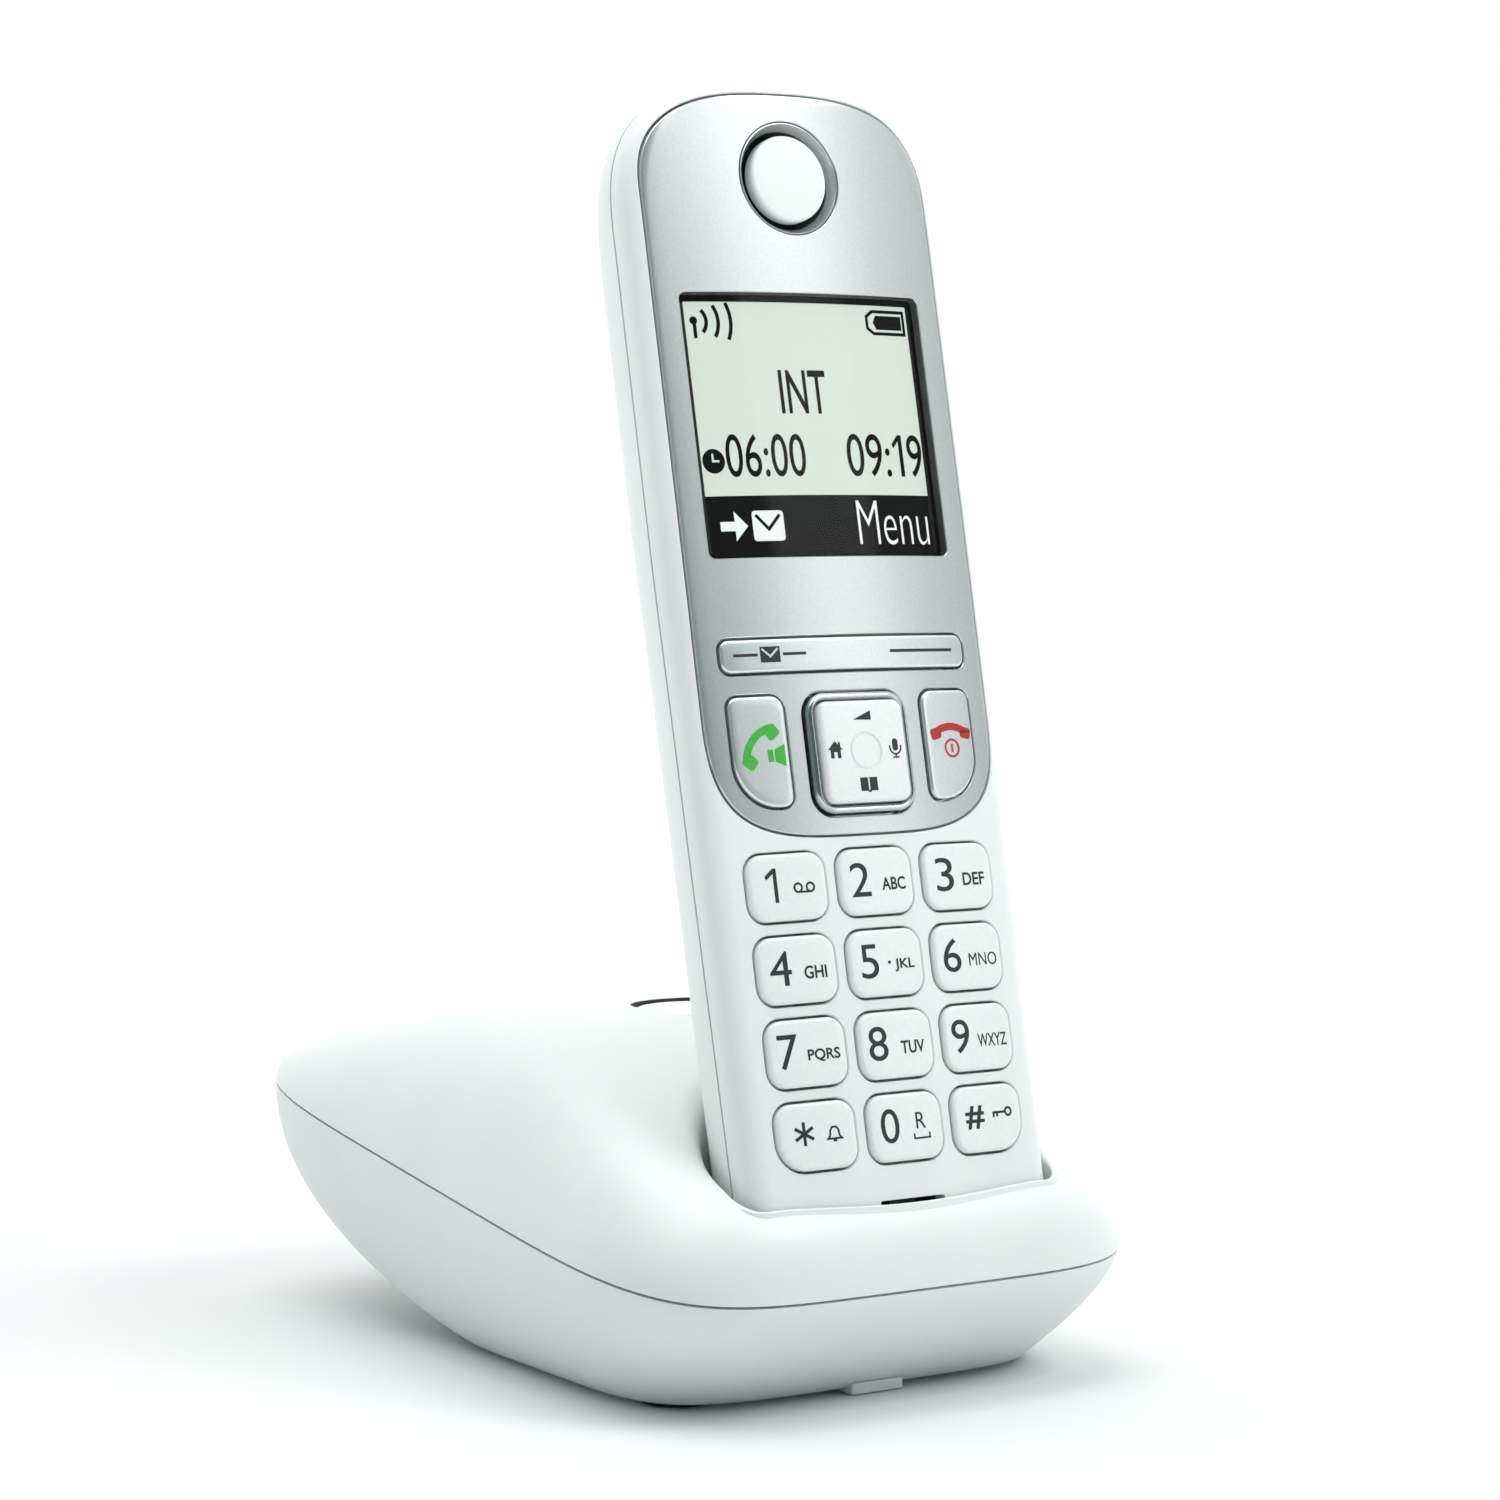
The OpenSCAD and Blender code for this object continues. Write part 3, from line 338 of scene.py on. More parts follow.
def loft(name, rings, material=None, close=True):
    n, count = len(rings[0]), len(rings)
    faces = [(k * n + i, k * n + (i + 1) % n, (k + 1) * n + (i + 1) % n, (k + 1) * n + i)
             for k in range(count - 1) for i in range(n)]
    if close:
        faces += [tuple(range(n - 1, -1, -1)), tuple(range((count - 1) * n, count * n))]
    made = make_object(name, np.vstack(rings), faces, material)
    work = bmesh.new()
    work.from_mesh(made.data)
    bmesh.ops.remove_doubles(work, verts=work.verts, dist=1e-7)
    bmesh.ops.recalc_face_normals(work, faces=work.faces)
    work.to_mesh(made.data)
    work.free()
    return made


def baked_mesh(made):
    # The plain mesh that an object's modifiers or its curve make
    graph = bpy.context.evaluated_depsgraph_get()
    return bpy.data.meshes.new_from_object(made.evaluated_get(graph))


def bake(made):
    mesh = baked_mesh(made)
    made.modifiers.clear()
    made.data = mesh


def carve(made, *tools, how="DIFFERENCE"):
    for tool in tools:
        cut = made.modifiers.new("cut", "BOOLEAN")
        cut.operation, cut.solver, cut.object = how, "MANIFOLD", tool
    bake(made)
    for tool in tools:
        bpy.data.objects.remove(tool)
    return made


def soften(made, angle=38):
    work = bmesh.new()
    work.from_mesh(made.data)
    bmesh.ops.remove_doubles(work, verts=work.verts, dist=2e-6)
    bmesh.ops.dissolve_degenerate(work, edges=work.edges, dist=1e-6)
    for face in work.faces:
        face.smooth = True
    limit = math.radians(angle)
    for edge in work.edges:
        edge.smooth = len(edge.link_faces) == 2 and edge.calc_face_angle(0) < limit
    work.to_mesh(made.data)
    work.free()
    return made


def shade_like(made, skin):
    # Gives every corner that lies on the uncut skin that skin's own smooth normal
    reach, aligned, sliver = 3e-5, 0.9, 2e-9
    tree = BVHTree.FromPolygons([v.co for v in skin.data.vertices],
                                [tuple(p.vertices) for p in skin.data.polygons])
    points = [v.co for v in skin.data.vertices]
    normals = [v.normal.copy() for v in skin.data.vertices]
    on_skin = {}
    for v in made.data.vertices:
        spot, _, face, gap = tree.find_nearest(v.co)
        if gap < reach:
            ids = skin.data.polygons[face].vertices
            share = poly_3d_calc([points[i] for i in ids], spot)
            on_skin[v.index] = sum((normals[i] * q for i, q in zip(ids, share)), Vector()).normalized()
    wanted = [n.vector.copy() for n in made.data.corner_normals]
    for p in made.data.polygons:
        for corner in p.loop_indices:
            smooth = on_skin.get(made.data.loops[corner].vertex_index)
            if smooth and (p.normal.dot(smooth) > aligned or p.area < sliver):
                wanted[corner] = smooth
    made.data.normals_split_custom_set(wanted)


def settle(made, body, slot_name, *nodes, angle=38, skin=None, material=None):
    if material:
        made.data.materials.clear()
        made.data.materials.append(material)
        made.data.polygons.foreach_set("material_index", [0] * len(made.data.polygons))
    soften(made, angle)
    if skin:
        shade_like(made, skin)
    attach(made, body)
    if nodes:
        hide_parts(*nodes)
    print(made.name, "has", len(made.data.polygons), "faces")

# %% [markdown]
# ## The outlines on the front
# Everything on the handset's front is cut from a few outlines: rounded blocks, the panel's two
# superellipses and the leaf-shaped keys beside the navigation key. Each outline can grow, which
# gives the gap round a key or the flange under it from the same drawing.

# %% Outlines as (across, height) points
straight_parts = 10


def rounded(corners, steps=9):
    out = []
    for k, (x, y, r) in enumerate(corners):
        p = np.array([x, y])
        u = np.array(corners[k - 1][:2]) - p
        v = np.array(corners[(k + 1) % len(corners)][:2]) - p
        u, v = u / np.linalg.norm(u), v / np.linalg.norm(v)
        half = math.acos(np.clip(u @ v, -1, 1)) / 2
        c = p + (u + v) / np.linalg.norm(u + v) * r / math.sin(half)
        s, e = p + u * r / math.tan(half) - c, p + v * r / math.tan(half) - c
        a0, a1 = math.atan2(s[1], s[0]), math.atan2(e[1], e[0])
        turn = (a1 - a0 + 3 * math.pi) % (2 * math.pi) - math.pi
        out += [c + r * np.array([math.cos(a0 + turn * q), math.sin(a0 + turn * q)])
                for q in np.linspace(0, 1, steps)]
    # The straight run to the next corner gets points too, so that a plug can follow the crown
    full = []
    for k, p in enumerate(out):
        full.append(p)
        if (k + 1) % steps == 0:
            ahead = out[(k + 1) % len(out)]
            full += [p + (ahead - p) * q / straight_parts for q in range(1, straight_parts)]
    return np.array(full)


def block(x, h, w, tall, r):
    return rounded([(x - w / 2, h - tall / 2, r), (x + w / 2, h - tall / 2, r),
                    (x + w / 2, h + tall / 2, r), (x - w / 2, h + tall / 2, r)])


def disc(x, h, r, steps=72):
    a = np.linspace(0, 2 * math.pi, steps, endpoint=False)
    return np.column_stack([x + r * np.cos(a), h + r * np.sin(a)])


def growing_block(h, wide, tall, r):
    return lambda grow: block(0, h, wide + 2 * grow, tall + 2 * grow, r + grow)


panel_half, panel_margin, panel_low, top_round, low_round = 22.1, 2.7, 54.4, 14.3, 18.0


def panel_outline(grow):
    half, top, low = panel_half + grow, hs_length - panel_margin - top_round, panel_low + low_round
    a = np.linspace(0, math.pi, 121)
    upper = np.column_stack([half * signed_power(np.cos(a), 2 / 2.8),
                             top + (top_round + grow) * np.sin(a) ** (2 / 2.8)])
    lower = np.column_stack([-half * signed_power(np.cos(a), 2 / 3.6),
                             low - (low_round + grow) * np.sin(a) ** (2 / 3.6)])
    side = np.linspace(top, low, 14)[1:-1]
    return np.vstack([upper, np.column_stack([np.full(12, -half), side]), lower,
                      np.column_stack([np.full(12, half), side[::-1]])])


window_mid, nav_mid, soft_mid, ear_mid = 108.35, 64.9, 78.0, 141.4
window_outline = growing_block(window_mid, 37.4, 35.1, 1)
soft_outline = growing_block(soft_mid, 38.0, 4.4, 1.4)
nav_outline = growing_block(nav_mid, 15.4, 15.7, 2.8)
nav_inner = growing_block(nav_mid, 13.4, 13.7, 1.6)


def ear_outline(grow):
    return disc(0, ear_mid, 7.7 + grow)


def end_outline(grow):
    near, far, low, high = 10.7 - grow, 18.8 + grow, nav_mid - 6.6 - grow, nav_mid + 7.9 + grow
    return rounded([(near, low, 1.5 + grow), (far, low, 5.9 + grow),
                    (far, high, 1.5 + grow), (near, high, 1.9 + grow)], 13)


def talk_outline(grow):
    return (end_outline(grow) * [-1, 1])[::-1]


key_pitch_x, key_pitch_h, key_top, key_w, key_h = 13.3, 10.58, 48.1, 11.4, 8.7
key_round, outer_corner_extra = 2.4, 1.6


def key_outline(column, row, grow):
    x, h = column * key_pitch_x, key_top - row * key_pitch_h
    w, t, r = key_w / 2 + grow, key_h / 2 + grow, key_round + grow
    big = r + outer_corner_extra if row == 3 and column else r
    return rounded([(x - w, h - t, big if column < 0 else r), (x + w, h - t, big if column > 0 else r),
                    (x + w, h + t, r), (x - w, h + t, r)])


print("Panel outline spans", np.ptp(panel_outline(0), axis=0).round(1), "mm")

# %% [markdown]
# ## Plugs and slabs
# A key hole, a recess or a loose cap has straight walls that follow an outline, and a top that
# follows the crowned face. A plug is such a solid: a stack of the same outline at chosen levels and
# amounts of growth. Where a level belongs to the face it follows the crown, so a small step in
# growth near the face leaves an even bevel all round. Real moulds have that bevel too.

# %% Plugs that follow the face
def plain(points):
    return np.asarray(points, float)


def at_level(outline, level):
    return np.column_stack([outline, np.full(len(outline), level)])


def step_rings(outline, steps, level=None):
    # steps: (growth, height, True where the height is measured from the face)
    rings = []
    for grow, height, follows in steps:
        flat = outline(grow)
        base = np.array([level(x, h) for x, h in flat]) if follows else np.zeros(len(flat))
        rings.append(np.column_stack([flat, base + height]))
    return rings


def plug(name, outline, steps, level=None, material=None, fill=0, place=stand):
    rings = step_rings(outline, steps, level)
    if fill:
        # Inner rings carry the face's curve over the middle of the cap
        last_grow, last_height, _ = steps[-1]
        flat = outline(last_grow)
        centre = flat.mean(axis=0)
        for q in np.linspace(1, 0, fill + 2)[1:-1]:
            part = centre + (flat - centre) * q
            rings.append(np.column_stack([part, [level(x, h) + last_height for x, h in part]]))
    return loft(name, [place(r) for r in rings], material)


def prism(outline, low, high, place=stand):
    return loft("prism", [place(at_level(outline, w)) for w in (low, high)])


def opening(outline, gap, low, bevel=0.15, level=skin_level, high=5, place=stand):
    flare = gap + bevel + 0.5
    return plug("opening", outline, [(gap, low, False), (gap, -bevel, True), (gap + bevel, 0, True),
                                     (flare, 0.5, True), (flare, high, False)], level, place=place)


def whole_body(inset, name="body"):
    heights = np.concatenate([
        inset + (foot_radius - inset) * (1 - np.cos(np.radians(np.arange(0, 91, 9)))),
        np.linspace(foot_radius, hs_length - top_depth, 22)[1:-1],
        hs_length - top_depth + (top_depth - inset) * np.sin(np.radians(np.arange(0, 87.1, 3)))])
    rings = []
    for h in heights:
        half, front, back = half_width(h, inset), front_level(h, inset), back_level(h, inset)
        section = np.vstack([front_curve(half, front, inset), back_curve(half, back)])
        rings.append(section_at(section, h))
    return loft(name, rings)


def slab_between(low, high):
    # Everything whose outward level lies between low and high
    return prism(np.array([(-40, -20), (40, -20), (40, 180), (-40, 180)], float), low, high)


def spin(name, profile, x, h, material=None, steps=96, closed=False, place=stand):
    # profile: (radius, outward level) from the axis or round a closed ring section
    rings = [place(at_level(disc(x, h, max(r, 1e-3), steps), w)) for r, w in profile]
    return loft(name, rings + (rings[:1] if closed else []), material, close=not closed)


handset_skin = soften(whole_body(0, "handset_skin"), 60)
print("Fine skin of the handset:", len(handset_skin.data.polygons), "faces")

# %% [markdown]
# ## The front shell
# The front shell is the white frame round the panel and the bed of the number keys. It is the skin
# cut at the parting plane, hollowed to its wall, with a shallow recess for the panel and a bevelled
# hole for each key. Cutting holes in one smooth skin keeps the light running past them unbroken.

# %% Cut the front shell
key_gap, nav_gap, panel_gap, panel_depth, half_seam = 0.28, 0.35, 0.32, 1.4, 0.19
through, above, behind = -8, 3, -30
front_shell = carve(whole_body(0, "front_shell_moulding"), slab_between(-hs_seam + half_seam, 20),
                    how="INTERSECT")
seat = carve(opening(panel_outline, panel_gap, -4.4, 0.12), whole_body(panel_depth + 0.1))
carve(front_shell, whole_body(hs_wall), seat)
carve(front_shell, *[opening(lambda g, c=c, r=r: key_outline(c, r, g), key_gap, through, 0.14)
                     for r in range(4) for c in (-1, 0, 1)])
microphone_slot = block(0, 7, 10, 0.6, 0.28)
carve(front_shell, *[prism(hole, through, above) for hole in (
    window_outline(-0.3), soft_outline(key_gap), nav_outline(nav_gap), talk_outline(key_gap),
    end_outline(key_gap), ear_outline(0), microphone_slot)])
settle(front_shell, "handset", "white_shell", "front_shell", skin=handset_skin, material=shell_white)

# %% [markdown]
# ## The silver panel
# The panel is a separate moulding that lies flush in the front shell and wraps over its edge, with
# a thin shadow line all round. Taking it from the same skin guarantees that the two surfaces meet
# without a step. Its own edges carry a small bevel that catches the light.

# %% Cut the panel
panel = carve(whole_body(0, "silver_front_panel"), whole_body(panel_depth))
edge = plug("edge", panel_outline, [(0, -4.3, False), (0, -0.1, True), (-0.12, 0.02, True),
                                    (-0.12, 5, False)], skin_level)
carve(panel, edge, how="INTERSECT")
carve(panel, opening(window_outline, 0, through, 0.1, crown_level),
      *[opening(outline, gap, through, bevel) for outline, gap, bevel in (
          (soft_outline, key_gap, 0.12), (nav_outline, nav_gap, 0.15), (talk_outline, key_gap, 0.12),
          (end_outline, key_gap, 0.12), (ear_outline, 0, 0.12))])
settle(panel, "handset", "silver_plastic", "front_panel", skin=handset_skin, material=panel_silver)

# %% [markdown]
# ## The back shell and the battery cover
# The back shell is the other half of the skin. It has a grille for the ringer, a door opening over
# two cells and two sunk screws. The battery cover is cut from the same skin, so it lies flush, and
# it has a row of small ribs near its upper edge that a thumb can push on.

# %% Cut the back shell and its cover
cell_mid, tray_w, tray_h, tray_floor, tray_wall = 64.25, 22.2, 52.5, -9.8, 1.2
door_outline, door_play, door_wall, seat_wall = growing_block(cell_mid, 29.0, 57.9, 2), 0.25, 1.6, 1.8
slot_mid, slot_pitch, slot_long, slot_step = 113, 2.6, 11, 1.6
hs_screw_x, hs_screw_h, charge_x = 14, 133, 9

back_shell = carve(whole_body(0, "back_shell_moulding"), slab_between(-40, -hs_seam - half_seam),
                   how="INTERSECT")
tray_body = block(0, cell_mid, tray_w + 2 * tray_wall, tray_h + 2 * tray_wall, 0.5)
carve(back_shell, carve(whole_body(hs_wall), prism(tray_body, behind, tray_floor + tray_wall)))
carve(back_shell, carve(prism(door_outline(0), behind, tray_floor), whole_body(seat_wall)),
      prism(block(0, cell_mid, tray_w, tray_h, 0.4), behind, tray_floor))
carve(back_shell, *[prism(block(0, slot_mid + slot_pitch * k, slot_long - slot_step * abs(k), 1.1, 0.5),
                          behind, -19.1) for k in range(-2, 3)])
for side in (-1, 1):
    carve(back_shell, prism(disc(side * hs_screw_x, hs_screw_h, 1.9), behind, -10),
          prism(disc(side * hs_screw_x, hs_screw_h, 1.05), -11, 0),
          prism(block(side * charge_x, 0, 5.2, 1.4, 0.1), -15.6, -10.4))
settle(back_shell, "handset", "white_shell", "back_shell", skin=handset_skin, material=shell_white)

cover = carve(whole_body(0, "battery_cover_moulding"), whole_body(door_wall))
carve(cover, prism(door_outline(-door_play), behind, tray_floor), how="INTERSECT")
settle(cover, "battery_door", "white_shell", "battery_cover", skin=handset_skin, material=shell_white)
bpy.data.objects.remove(handset_skin)

# %% [markdown]
# ## Number keys
# Each number key is a small cap that stands a hair above the shell, with a soft rolled edge and a
# flange under the shell that keeps it in. Rings of the key's own outline make it: straight wall,
# quarter-round edge, then inner rings that follow the crown so the printed legend lies on it.

# %% Caps
def quarter(steps):
    return np.linspace(0, math.pi / 2, steps)


def rolled(side, top, roll, steps):
    # A quarter-round edge from a straight side to the top
    return [(side - roll * (1 - math.cos(a)), top - roll * (1 - math.sin(a))) for a in quarter(steps)]


def cap_steps(proud, roll, low, flange=0.4, flange_top=-2.5):
    # A flange, a straight wall and a rolled edge
    play = -0.06
    return [(flange, low, False), (flange, flange_top, True), (play, flange_top, True)] \
        + [(grow, height, True) for grow, height in rolled(play, proud, roll, 6)]


def cap(node_name, body, slot_name, outline, steps, material):
    key = plug(node_name + "_cap", outline, steps, crown_level, material, fill=5)
    settle(key, body, slot_name, node_name, angle=50)


key_names = ["key_" + name for name in "1 2 3 4 5 6 7 8 9 star 0 hash".split()]
key_proud = 0.55
for index, node_name in enumerate(key_names):
    row, column = index // 3, index % 3 - 1
    cap(node_name, node_name + "_body", "white_keys", lambda g: key_outline(column, row, g),
        cap_steps(key_proud, 0.5, -4.6), key_white)

# %% [markdown]
# ## Silver keys in the panel
# The leaf-shaped keys for taking and ending a call and the long soft-key bar are low caps of the
# same kind, lacquered a little paler than the panel round them.

# %% Talk key, end key and soft-key bar
side_proud, soft_proud = 0.35, 0.3
cap("talk_key", "talk", "silver_plastic", talk_outline, cap_steps(side_proud, 0.35, -4.6), key_silver)
cap("end_key", "end", "silver_plastic", end_outline, cap_steps(side_proud, 0.35, -4.6), key_silver)
bar = plug("soft_key_bar_cap", soft_outline, cap_steps(soft_proud, 0.35, -4.7, 0.4, -2.75), crown_level,
           key_silver, fill=5)
settle(bar, "soft_keys", "silver_plastic", "softkey_bar", angle=50)

# %% [markdown]
# ## The navigation key
# A plated rim stands round a white plate that tilts four ways. The rim is one ring with a rolled
# outer edge and a slope down to the plate. The plate is flat, with rounded edges and a fine round
# groove that marks its middle for a thumb.

# %% Rim and plate
rim_steps = [(0.75, -4.7, False), (0.75, -2.75, True), (0.0, -2.75, True), (0.0, 0.35, False)]
rim_steps += [(grow, height, False) for grow, height in (
    (-0.08, 0.62), (-0.24, 0.82), (-0.44, 0.9), (-0.64, 0.84), (-0.84, 0.62))]
rim_rings = step_rings(nav_outline, rim_steps, crown_level) \
    + step_rings(nav_inner, [(0.0, 0.3, False), (0.0, -4.1, False)])
rim = loft("nav_key_rim", [stand(ring) for ring in rim_rings], plated_rim)
settle(rim, "nav_rocker", "bright_rim", "nav_ring", angle=45)

plate_play, plate_roll, plate_proud = 0.2, 0.6, 1.6
plate_edge = [(grow, height, False) for grow, height in rolled(-plate_play, plate_proud, plate_roll, 7)]
plate = plug("nav_key_plate", nav_inner, [(-plate_play, -3.7, False)] + plate_edge, crown_level, key_white)
groove = [(2.1, 2.2), (2.12, 1.62), (2.2, 1.46), (2.32, 1.4), (2.44, 1.46), (2.52, 1.62), (2.54, 2.2)]
carve(plate, spin("groove", groove, 0, nav_mid, None, 72, closed=True))
settle(plate, "nav_center", "white_keys", "nav_plate", angle=35)

# %% [markdown]
# ## The earpiece
# A grey chamfered ring leads down to a dark gap, and a white disc stands in the middle of it. Sound
# passes through the gap. Both are sections spun round an axis, as turned parts are.

# %% Ring and disc
ring = spin("earpiece_chamfer_ring", [(6.65, -3.6), (7.6, -3.6), (7.6, -0.3), (7.52, -0.18), (7.4, -0.16),
                                      (6.75, -1.25), (6.65, -1.4)], 0, ear_mid, ring_grey, closed=True)
settle(ring, "handset", "grey_ring", "earpiece_ring", angle=30)
button = spin("earpiece_disc_cap", [(2.4, -3.6), (2.4, -1.9), (5.7, -1.9), (5.85, -1.75)]
              + rolled(5.85, -0.05, 0.55, 8) + [(3.0, -0.01), (0.0, 0.0)], 0, ear_mid, shell_white)
settle(button, "handset", "white_shell", "earpiece_disc", angle=40)

# %% [markdown]
# ## The display window
# The window is a thin bent plate of clear acrylic. A black border is printed on its back, and the
# picture of the display lies right behind that. Curved sheets that follow the crown make all of
# them, each a fraction of a millimetre under the last.

# %% Window, printed border and picture
def sheet_on_crown(name, slot_name, material, outline, top, thickness, *nodes, hole=None):
    # A sheet under the crown with straight sides
    x0, h0 = outline.min(axis=0) - 1
    x1, h1 = outline.max(axis=0) + 1
    xs = np.linspace(x0, x1, 40)
    section = np.array([(x, crown_level(x) + top) for x in xs]
                       + [(x, crown_level(x) + top - thickness) for x in xs[::-1]])
    made = loft(name, [section_at(section, h) for h in (h0, h1)])
    carve(made, prism(outline, -6, above), how="INTERSECT")
    if hole is not None:
        carve(made, prism(hole, -6, above))
    settle(made, "handset", slot_name, *nodes, material=material)


view_low, view_split, view_high, view_half = 91.6, 99.4, 124.9, 18.1
view_wide = 2 * view_half + 0.6
sheet_on_crown("window_acrylic", "window", window_clear, window_outline(-0.08), -0.08, 1.2,
               "display_window")
sheet_on_crown("window_printed_border", "dark_plastic", window_ink, window_outline(-0.1), -1.29, 0.04,
               hole=block(0, (view_low + view_high) / 2, 2 * view_half, view_high - view_low, 0.8))
for name, slot_name, material, low, high, shift, extra in (
        ("display_picture", "display", display_pale, view_split, view_high, 0.0, 0.4),
        ("display_dark_strip", "dark_plastic", window_ink, view_low, view_split, 0.3, 0.2)):
    shape = block(0, (low + high) / 2 - shift, view_wide, high - low + extra, 0.1)
    sheet_on_crown(name, slot_name, material, shape, -1.36, 0.05)

# %% [markdown]
# ## The base's cover
# The cover is a low dome over a squarish outline, highest just behind the handset and falling to
# the back. A deep pit for the handset runs into it along the lean. Its rim is softly rolled, which
# guides the handset in. The dome is laid out as spokes from the rolled rim to the parting line, so
# no hole has to be cut in the part that the light shows best.

# %% Rules of the cover
base_width, base_depth, base_square = 81.0, 122.0, 5.3
half_depth = base_depth / 2
peak_y, peak_z, front_z, back_z = -4.0, 46.0, 24.8, 37
front_slope, back_slope = 0.53, -0.2
seam_front_z, seam_rise = 15.9, 0.14
contact_x = 9.0


def seam_level(y):
    return seam_front_z + seam_rise * (y + half_depth)


def hermite(y0, z0, m0, y1, z1, m1, y):
    t, l = (y - y0) / (y1 - y0), y1 - y0
    return ((2 * t ** 3 - 3 * t ** 2 + 1) * z0 + (t ** 3 - 2 * t ** 2 + t) * l * m0
            + (3 * t ** 2 - 2 * t ** 3) * z1 + (t ** 3 - t ** 2) * l * m1)


def dome_level(x, y):
    ridge = np.where(y < peak_y, hermite(-half_depth, front_z, front_slope, peak_y, peak_z, 0, y),
                     hermite(peak_y, peak_z, 0, half_depth, back_z, back_slope, y))
    side = base_width / 2 * np.maximum(0, 1 - (np.abs(y) / half_depth) ** base_square) ** (1 / base_square)
    s = np.minimum(1, np.abs(x) / np.maximum(0.01, side))
    rise = np.maximum(0, 1 - (np.abs(y) / half_depth) ** 40) ** 0.62 * (1 - s ** 6) ** 0.7
    return seam_level(y) + (ridge - seam_level(y)) * rise


def running_length(loop):
    return np.concatenate([[0], np.cumsum(np.linalg.norm(np.diff(loop, axis=0), axis=1))])


def evenly(points, count):
    # The same closed curve with evenly spaced points, from its first point on
    loop = np.vstack([points, points[:1]])
    run = running_length(loop)
    s = np.linspace(0, run[-1], count, endpoint=False)
    return np.column_stack([np.interp(s, run, loop[:, k]) for k in range(loop.shape[1])])


def squarish(turns, half, front, back, square):
    side, end = signed_power(np.cos(turns), 2 / square), signed_power(np.sin(turns), 2 / square)
    return np.column_stack([half * side, (front + back) / 2 + (back - front) / 2 * end])


def base_rim(turns):
    return squarish(turns, base_width / 2, -half_depth, half_depth, base_square)


def smooth_step(t):
    t = np.clip(t, 0, 1)
    return t * t * (3 - 2 * t)


dense_turns = np.linspace(-math.pi / 2, 1.5 * math.pi, 4000, endpoint=False)
print("The dome is", float(dome_level(0.0, peak_y)), "mm high at its peak")

# %% Lay out the cover and cut its key well and contact slots
def on_dome(section, drop):
    # Heights along the lean where lines through the section meet the dome lowered by drop
    h = np.full(len(section), 20.0)
    for _ in range(40):
        p = section_at(section, h)
        h -= 0.8 * (p[:, 2] - dome_level(p[:, 0], p[:, 1]) + drop)
    return section_at(section, h)


# The pit's section is the handset's widest one in it plus its play, from the middle of the front round
ring_points, cover_wall, well_r, contact_w = 320, 0.9, 8.5, -13
widest_h, pit_play, pit_front, pit_back, pit_floor = 34, 0.9, 0.4, -24.9, -0.2
pit_half, pit_centre = half_width(widest_h) + pit_play, np.array([0, -12])
pit_curve = np.vstack([front_curve(pit_half, pit_front, 0, 14, 41), back_curve(pit_half, pit_back, 120)])
pit_start = int(np.argmin(np.abs(pit_curve[:50, 0])))
wall = evenly(np.roll(pit_curve, -pit_start, axis=0) * [-1, 1], ring_points)
tangent = np.roll(wall, -1, axis=0) - np.roll(wall, 1, axis=0)
normal = np.column_stack([tangent[:, 1], -tangent[:, 0]]) / np.linalg.norm(tangent, axis=1)[:, None]
if (normal * (wall - [0, -10])).sum() < 0:
    normal = -normal
roll = 0.35 + 2.0 * smooth_step((-wall[:, 1] - 1) / 10)
pit_rings = [section_at((wall - pit_centre) * q + pit_centre, pit_floor)
             for q in (0.0, 0.3, 0.7, 0.9, 0.97, 1.0)]
rim_rings = [on_dome(wall + normal * (roll * (1 - math.cos(a)))[:, None], roll * (1 - math.sin(a)))
             for a in quarter(9)]

inner = rim_rings[-1]
outline = evenly(base_rim(dense_turns), len(dense_turns))
fraction = np.linspace(0, 1, ring_points, endpoint=False)
spread = np.interp(np.minimum(fraction, 1 - fraction), [0, 0.19, 0.5], [0, 0.115, 0.5])
target = np.where(fraction <= 0.5, spread, 1 - spread)
outer = outline[(target * len(outline)).astype(int) % len(outline)]
if np.sign(outer[20, 0]) != np.sign(inner[20, 0]):
    outer = outer * [-1, 1]
dome_rings = []
for q in np.linspace(0, 1, 44)[1:]:
    xy = inner[:, :2] + (outer - inner[:, :2]) * (1 - (1 - q) ** 3)
    dome_rings.append(np.column_stack([xy, dome_level(xy[:, 0], xy[:, 1])]))

pit_rings.append(section_at(wall, pit_floor + 0.5))
base_cover = loft("base_cover_moulding", pit_rings + rim_rings + dome_rings, shell_white, close=False)
cover_skin = soften(make_object("cover_skin", np.array([v.co for v in base_cover.data.vertices]) * 1000,
                                [tuple(f.vertices) for f in base_cover.data.polygons]), 60)
thick = base_cover.modifiers.new("wall", "SOLIDIFY")
thick.thickness, thick.offset, thick.use_even_offset = cover_wall / 1000, -1, False
bake(base_cover)
carve(base_cover, opening(lambda g: disc(0, peak_y, well_r + g), 0.3, 30, 0.25, dome_level, 70, plain))
for side in (-1, 1):
    contact_slot = block(side * contact_x, contact_w, 2.4, 5.8, 0.1)
    carve(base_cover, loft("slot", [section_at(contact_slot, h) for h in (-4, 4)]))
settle(base_cover, "base", "white_shell", "base_cover", skin=cover_skin, material=shell_white)
bpy.data.objects.remove(cover_skin)

# %% [markdown]
# ## The base's bottom shell
# The bottom shell is a boat-shaped hull. It starts on the cover's outline at the parting line and
# draws in under it to a small flat foot, so the base seems to float. Its flanks are full and round
# towards the back and nearly straight towards the front. The shell has a bay for two sockets at the
# back, and sunk screws and feet.

